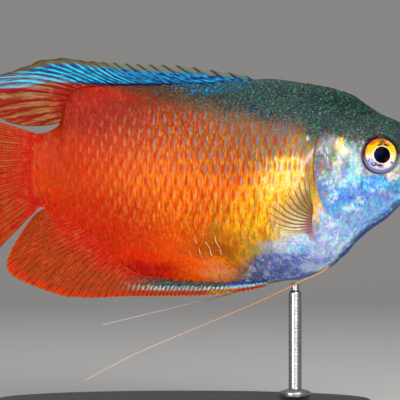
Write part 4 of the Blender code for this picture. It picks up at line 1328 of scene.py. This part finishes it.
nose = rise(share, 0.2, 0.1)
height = scaled(streak, 0.24, sums("ADD", out, -0.12))
band = both(rise(height, -0.04, 0.06), rise(height, 0.66, 0.48))
band_hue = over(rise(streak, 0.42, 0.58), (52, 46, 40), (84, 92, 84))
web = over(both(band, front), web, over(nose, band_hue, (58, 84, 176)))
dash = both(rise(height, 0.44, 0.52), rise(height, 0.78, 0.66),
            sums("MAXIMUM", nose, rise(from_ray, 0.1, 0.28)))
pale = over(rise(streak, 0.42, 0.6), (64, 158, 170), (196, 222, 214))
dash = both(dash, sums("MAXIMUM", nose, rise(streak, 0.38, 0.5)))
web = over(both(dash, front), web, pale)
lip = both(rise(height, 0.7, 0.8), blob(share, share, (0.17, 0.17), (0.08, 0.08)))
web = over(both(lip, 0.7, rise(streak, 0.4, 0.55)), web, (190, 150, 40))
wire(web, shader, "Base Color")
web_relief(shader, share, out, anal_rays)
anal.data.materials.append(red_finish)

tail_finish, shader = new_finish("tail fin", 0.35, Specular_IOR_Level=0.12)
share, out = web_places()
streak = streaks(share, out, tail_rays)
flush = scaled(streak, 0.24, out)
web = over(rise(flush, 0.2, 0.6), (190, 26, 5), (172, 50, 8))
shares, _, _ = fish_shares()
cloud = mottle_of(shares, 50)
web = over(both(rise(cloud, 0.52, 0.64), rise(flush, 0.5, 0.2)), web, (198, 86, 56), 0.7)
web = over(rise(mottle_of(shares, 30), 0.5, 0.66), web, (176, 16, 4))
wander = scaled(streaks(share, out, tail_rays * 0.3, 3.0, 4.0), 1.4, -0.7)
ochre = both(rise(off_ray(share, 23, wander), 0.26, 0.44), rise(streak, 0.4, 0.54))
web = over(both(ochre, rise(out, 0.12, 0.34)), web, (154, 100, 30), 0.75)
ray_part = both(rise(off_ray(share, tail_rays, wander), 0.3, 0.12), rise(out, 0.1, 0.34))
web = over(ray_part, web, (134, 12, 2), 0.35)
web = stain(0.3, web, flecks_of(shares, 150, 2.2))
wire(web, shader, "Base Color")
web_relief(shader, share, out, tail_rays)
tail.data.materials.append(tail_finish)

for fin, node, slot in ((dorsal, "dorsal_fin", "blue_fin"), (anal, "anal_fin", "red_fin"),
                        (tail, "caudal_fin", "red_fin")):
    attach(fin, "root")
    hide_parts(node)


# The breast fins: a clear fan on each flank just behind the gill cover, on soft brown
# rays that curve upward. Each is moulded in clear film and glued along its short root.
breast_root = ((0.2985, -0.101), (0.3030, -0.166))
breast_margin = (
    (0.312, -0.012), (0.330, -0.032), (0.350, -0.055), (0.366, -0.070), (0.380, -0.080),
    (0.397, -0.086), (0.411, -0.104), (0.414, -0.128), (0.402, -0.150), (0.372, -0.168),
)
breast_rays = 13
breast_gap = 0.12 * mm
breast_lift = 1.4 * mm
breast_bow = curve_through(((0.0, 0.02), (0.4, 0.12), (0.8, 0.10), (1.0, -0.02)))


def breast_foot(share):
    """Where the rays of a breast fin are glued to the flank."""
    top, bottom = np.array(breast_root[0]), np.array(breast_root[1])
    return top + (bottom - top) * share[:, None]


breast_finish, shader = new_finish("clear fin", 0.3, Coat_Weight=0.3, Coat_Roughness=0.1)
share, out = web_places()
streak = streaks(share, out, breast_rays)
from_ray = off_ray(share, breast_rays, scaled(streak, 0.4, -0.2))
line = rise(scaled(out, 0.16, from_ray), 0.36, 0.2)
dusky = both(rise(share, 0.58, 0.26), rise(out, 0.86, 0.42))
web = over(dusky, (248, 232, 190), (170, 138, 72))
web = over(line, web, (136, 106, 48))
base_hue = over(rise(scaled(streak, 0.4, share), 0.75, 1.05), (128, 72, 40), (150, 92, 110))
near_root = scaled(share, -0.12, scaled(streak, 0.12, out))
web = over(rise(near_root, 0.28, 0.06), web, base_hue)
wire(web, shader, "Base Color")
cover = both(line, rise(out, 1.1, 0.7), scaled(share, -0.28, 0.74))
cover = sums("MAXIMUM", cover, both(rise(out, 0.7, 0.2), scaled(share, 0.5, 0.1)))
cover = sums("MAXIMUM", cover, rise(near_root, 0.3, 0.1))
cover = sums("MAXIMUM", cover, both(dusky, 0.5))
wire(scaled(cover, 0.94, 0.05), shader, "Alpha")
web_relief(shader, share, out, breast_rays)

breast_rim = path_through(breast_margin)
for name, node, side in (("breast_fin_right", "pectoral_fin_R", -1),
                         ("breast_fin_left", "pectoral_fin_L", 1)):

    def beside_flank(along, up, out, side=side):
        return side * (flank_side(along, up) + breast_gap + breast_lift * out ** 1.2)

    fin = fin_sheet(name, breast_foot, breast_rim, breast_rays, 12, 36, beside_flank,
                    breast_bow, lambda s: 0.05 + 0 * s, np.ones_like,
                    ((0.35, 0.95, 0.14),), ray_half=0.12 * mm, web_half=0.03 * mm,
                    sheath=0.1 * mm)
    fin.data.materials.append(breast_finish)
    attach(fin, "root")
    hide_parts(node)


# The feelers: each belly fin of a gourami is one long thread. On the model they are
# tapered wires with a thin orange skin, let into the belly ahead of the vent.
near_thread = (
    (0.255, -0.252), (0.270, -0.266), (0.317, -0.287), (0.368, -0.312), (0.423, -0.338),
    (0.517, -0.378), (0.581, -0.404), (0.647, -0.431), (0.755, -0.478), (0.877, -0.542),
)
far_thread = (
    (0.255, -0.252), (0.270, -0.266), (0.340, -0.285), (0.430, -0.303), (0.527, -0.332),
    (0.647, -0.362), (0.755, -0.388), (0.839, -0.409),
)
thread_side = (1.5 * mm, 4.5 * mm)
thread_radii = (0.19 * mm, 0.06 * mm)


def set_thread(name, route, side):
    """One feeler: a round wire that thins along its route and stands away from the body."""
    shares = np.linspace(0, 1, 90)
    spots = path_through(route)(shares)
    reach = side * (thread_side[0] + (thread_side[1] - thread_side[0]) * shares)
    line = bpy.data.curves.new(name, "CURVE")
    line.dimensions = "3D"
    line.bevel_depth = 1.0
    line.bevel_resolution = 3
    line.use_fill_caps = True
    spline = line.splines.new("POLY")
    spline.points.add(len(shares) - 1)
    for point, spot, share in zip(spline.points, in_place(spots[:, 0], spots[:, 1], reach), shares):
        point.co = (*spot, 1.0)
        point.radius = thread_radii[0] + (thread_radii[1] - thread_radii[0]) * share ** 0.6
    thread = bpy.data.objects.new(name, line)
    bpy.context.scene.collection.objects.link(thread)
    pick_up(thread)
    bpy.ops.object.convert(target="MESH")
    close_up(thread, 0.002 * mm)
    return thread


def thread_finish(name, root_colour, tip_colour):
    """The skin of a feeler, which fades from one colour to another along it."""
    material, shader = new_finish(name, 0.4, Coat_Weight=0.2)
    shares, along, _ = fish_shares()
    grain = noise_of(shares, 70, 2)
    fade = rise(scaled(grain, 0.1, along), 0.45, 0.85)
    wire(over(fade, root_colour, tip_colour), shader, "Base Color")
    wire(bump(grain, 0.8), shader, "Normal")
    return material


threads = (
    ("feeler_right", "pelvic_filament_R", near_thread, -1, (184, 132, 88), (206, 192, 176)),
    ("feeler_left", "pelvic_filament_L", far_thread, 1, (176, 160, 150), (196, 192, 190)),
)
for name, node, route, side, root_colour, tip_colour in threads:
    thread = set_thread(name, route, side)
    thread.data.materials.append(thread_finish(name, root_colour, tip_colour))
    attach(thread, "root")
    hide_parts(node)


# The stand: an oval foot in matt black composite with a soft edge, and one turned
# steel rod screwed into it, which carries the fish by a pin under the belly.
base_low, base_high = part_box("stand_base")
rod_low, rod_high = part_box("stand_rod")
base_size = base_high - base_low
rod_radius = 1.0 * mm
rod_foot = (rod_high.x - rod_low.x) / 2
rod_neck_thinning = 0.35
foot_rounding, rod_rounding = 0.7 * mm, 0.15 * mm
collar_low, collar_high = rod_low.z + 0.8 * mm, rod_low.z + 1.2 * mm
neck_low, neck_high = rod_high.z - 1.4 * mm, rod_high.z - 1.1 * mm

bpy.ops.mesh.primitive_cylinder_add(vertices=160, radius=0.5, depth=1.0)
base = bpy.context.object
base.name = "stand_foot"
base.data.transform(Matrix.Diagonal((*base_size, 1)))
base.data.transform(Matrix.Translation((base_low + base_high) / 2))
soften = base.modifiers.new("Bevel", "BEVEL")
soften.width = foot_rounding
soften.segments = 5
soften.limit_method = "ANGLE"
bpy.ops.object.modifier_apply(modifier="Bevel")
bpy.ops.object.shade_smooth_by_angle(angle=math.radians(35))

base_finish, shader = new_finish("matt composite", 0.5)
place = put("TexCoord").outputs["Object"]
stipple = noise_of(place, 2600, 3)
cloud = noise_of(place, 90, 4)
wire(over(cloud, (44, 46, 50), (60, 62, 66)), shader, "Base Color")
wire(scaled(cloud, 0.25, 0.34), shader, "Roughness")
wire(bump(stipple, 1.0), shader, "Normal")
base.data.materials.append(base_finish)

bpy.ops.mesh.primitive_cylinder_add(
    vertices=64, radius=rod_radius, depth=rod_high.z - rod_low.z,
    location=((rod_low.x + rod_high.x) / 2, 0, (rod_low.z + rod_high.z) / 2))
rod = bpy.context.object
rod.name = "stand_pin"
bpy.ops.object.transform_apply(location=True, rotation=True, scale=True)
bpy.ops.object.mode_set(mode="EDIT")
for level in (collar_low, collar_high, neck_low, neck_high):
    bpy.ops.mesh.select_all(action="SELECT")
    bpy.ops.mesh.bisect(plane_co=(0, 0, level), plane_no=(0, 0, 1))
bpy.ops.object.mode_set(mode="OBJECT")
spots = corners(rod)
centre = np.array(((rod_low.x + rod_high.x) / 2, 0.0))
foot_part = 1 - ease(spots[:, 2], rod_low.z + 0.81 * mm, rod_low.z + 1.15 * mm)
neck_part = ease(spots[:, 2], rod_high.z - 1.3 * mm, rod_high.z - 1.15 * mm)
width = 1 + (rod_foot / rod_radius - 1) * foot_part - rod_neck_thinning * neck_part
spots[:, :2] = centre + (spots[:, :2] - centre) * width[:, None]
move_corners(rod, spots)
edge = rod.modifiers.new("Bevel", "BEVEL")
edge.width = rod_rounding
edge.segments = 3
edge.limit_method = "ANGLE"
bpy.ops.object.modifier_apply(modifier="Bevel")
close_up(rod)
bpy.ops.object.shade_smooth_by_angle(angle=math.radians(35))

rod_finish, shader = new_finish("turned steel", 0.25, Metallic=1.0)
place = put("TexCoord").outputs["Object"]
stretched = put("Mapping", {"Vector": place, "Scale": (400, 400, 9000)}).outputs[0]
turning = noise_of(stretched, 1.0, 2)
wire(over(turning, (168, 168, 170), (206, 206, 208)), shader, "Base Color")
wire(scaled(turning, 0.2, 0.18), shader, "Roughness")
wire(bump(turning, 0.1), shader, "Normal")
rod.data.materials.append(rod_finish)

for piece, node, slot in ((base, "stand_base", "stand_base"), (rod, "stand_rod", "stand_rod")):
    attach(piece, "root")
    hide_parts(node)


# The studio: a pale paper floor swept up behind the fish, three soft boxes and a long
# lens that looks level at its right side, as the picture of the fish was taken.
bpy.ops.mesh.primitive_plane_add(size=1)
floor = bpy.context.object
floor.name = "paper_floor"
bpy.ops.object.mode_set(mode="EDIT")
bpy.ops.mesh.select_all(action="SELECT")
bpy.ops.mesh.subdivide(number_cuts=59)
bpy.ops.object.mode_set(mode="OBJECT")
paper = corners(floor)
paper_width, paper_length, paper_front = 3.2, 3.0, 0.7
flat, bend = 1.1, 0.35
run = (paper[:, 1] + 0.5) * paper_length
arc = np.clip((run - flat) / (bend * math.pi / 2), 0, 1) * math.pi / 2
rest = np.maximum(run - flat - bend * math.pi / 2, 0)
depth = np.minimum(run, flat) + bend * np.sin(arc) - paper_front
height = bend * (1 - np.cos(arc)) + rest
move_corners(floor, np.stack([paper[:, 0] * paper_width, depth, height], -1))
bpy.ops.object.shade_smooth()
paper_finish, shader = new_finish("pale paper", 0.8)
place = put("TexCoord").outputs["Object"]
mist = noise_of(place, 1.5, 3)
wire(over(mist, (196, 193, 190), (206, 203, 200)), shader, "Base Color")
floor.data.materials.append(paper_finish)

soft_boxes = (
    ("key light", (0.13, -0.38, 0.24), 0.26, 1.85),
    ("fill light", (-0.28, -0.40, 0.03), 0.26, 1.1),
    ("top light", (-0.02, 0.06, 0.40), 0.34, 0.55),
)
fish_middle = Vector((0.0, 0.0, 0.036))
for name, spot, width, power in soft_boxes:
    aim = (fish_middle - Vector(spot)).to_track_quat("-Z", "Y").to_euler()
    bpy.ops.object.light_add(type="AREA", location=spot, rotation=aim)
    lamp = bpy.context.object
    lamp.name = name
    lamp.data.shape = "SQUARE"
    lamp.data.size = width
    lamp.data.energy = power
world = bpy.data.worlds.new("studio air")
world.use_nodes = True
air = world.node_tree.nodes["Background"]
air.inputs["Color"].default_value = (0.86, 0.89, 0.94, 1)
air.inputs["Strength"].default_value = 0.24
bpy.context.scene.world = world

camera_distance = 0.341
bpy.ops.object.camera_add(location=(2.6 * mm, -camera_distance, 34.46 * mm),
                          rotation=(math.pi / 2, 0, 0))
camera = bpy.context.object
camera.data.lens = 200
camera.data.sensor_width = 36
camera.data.clip_start = 0.01
bpy.context.scene.camera = camera
bpy.context.scene.view_settings.view_transform = "Standard"
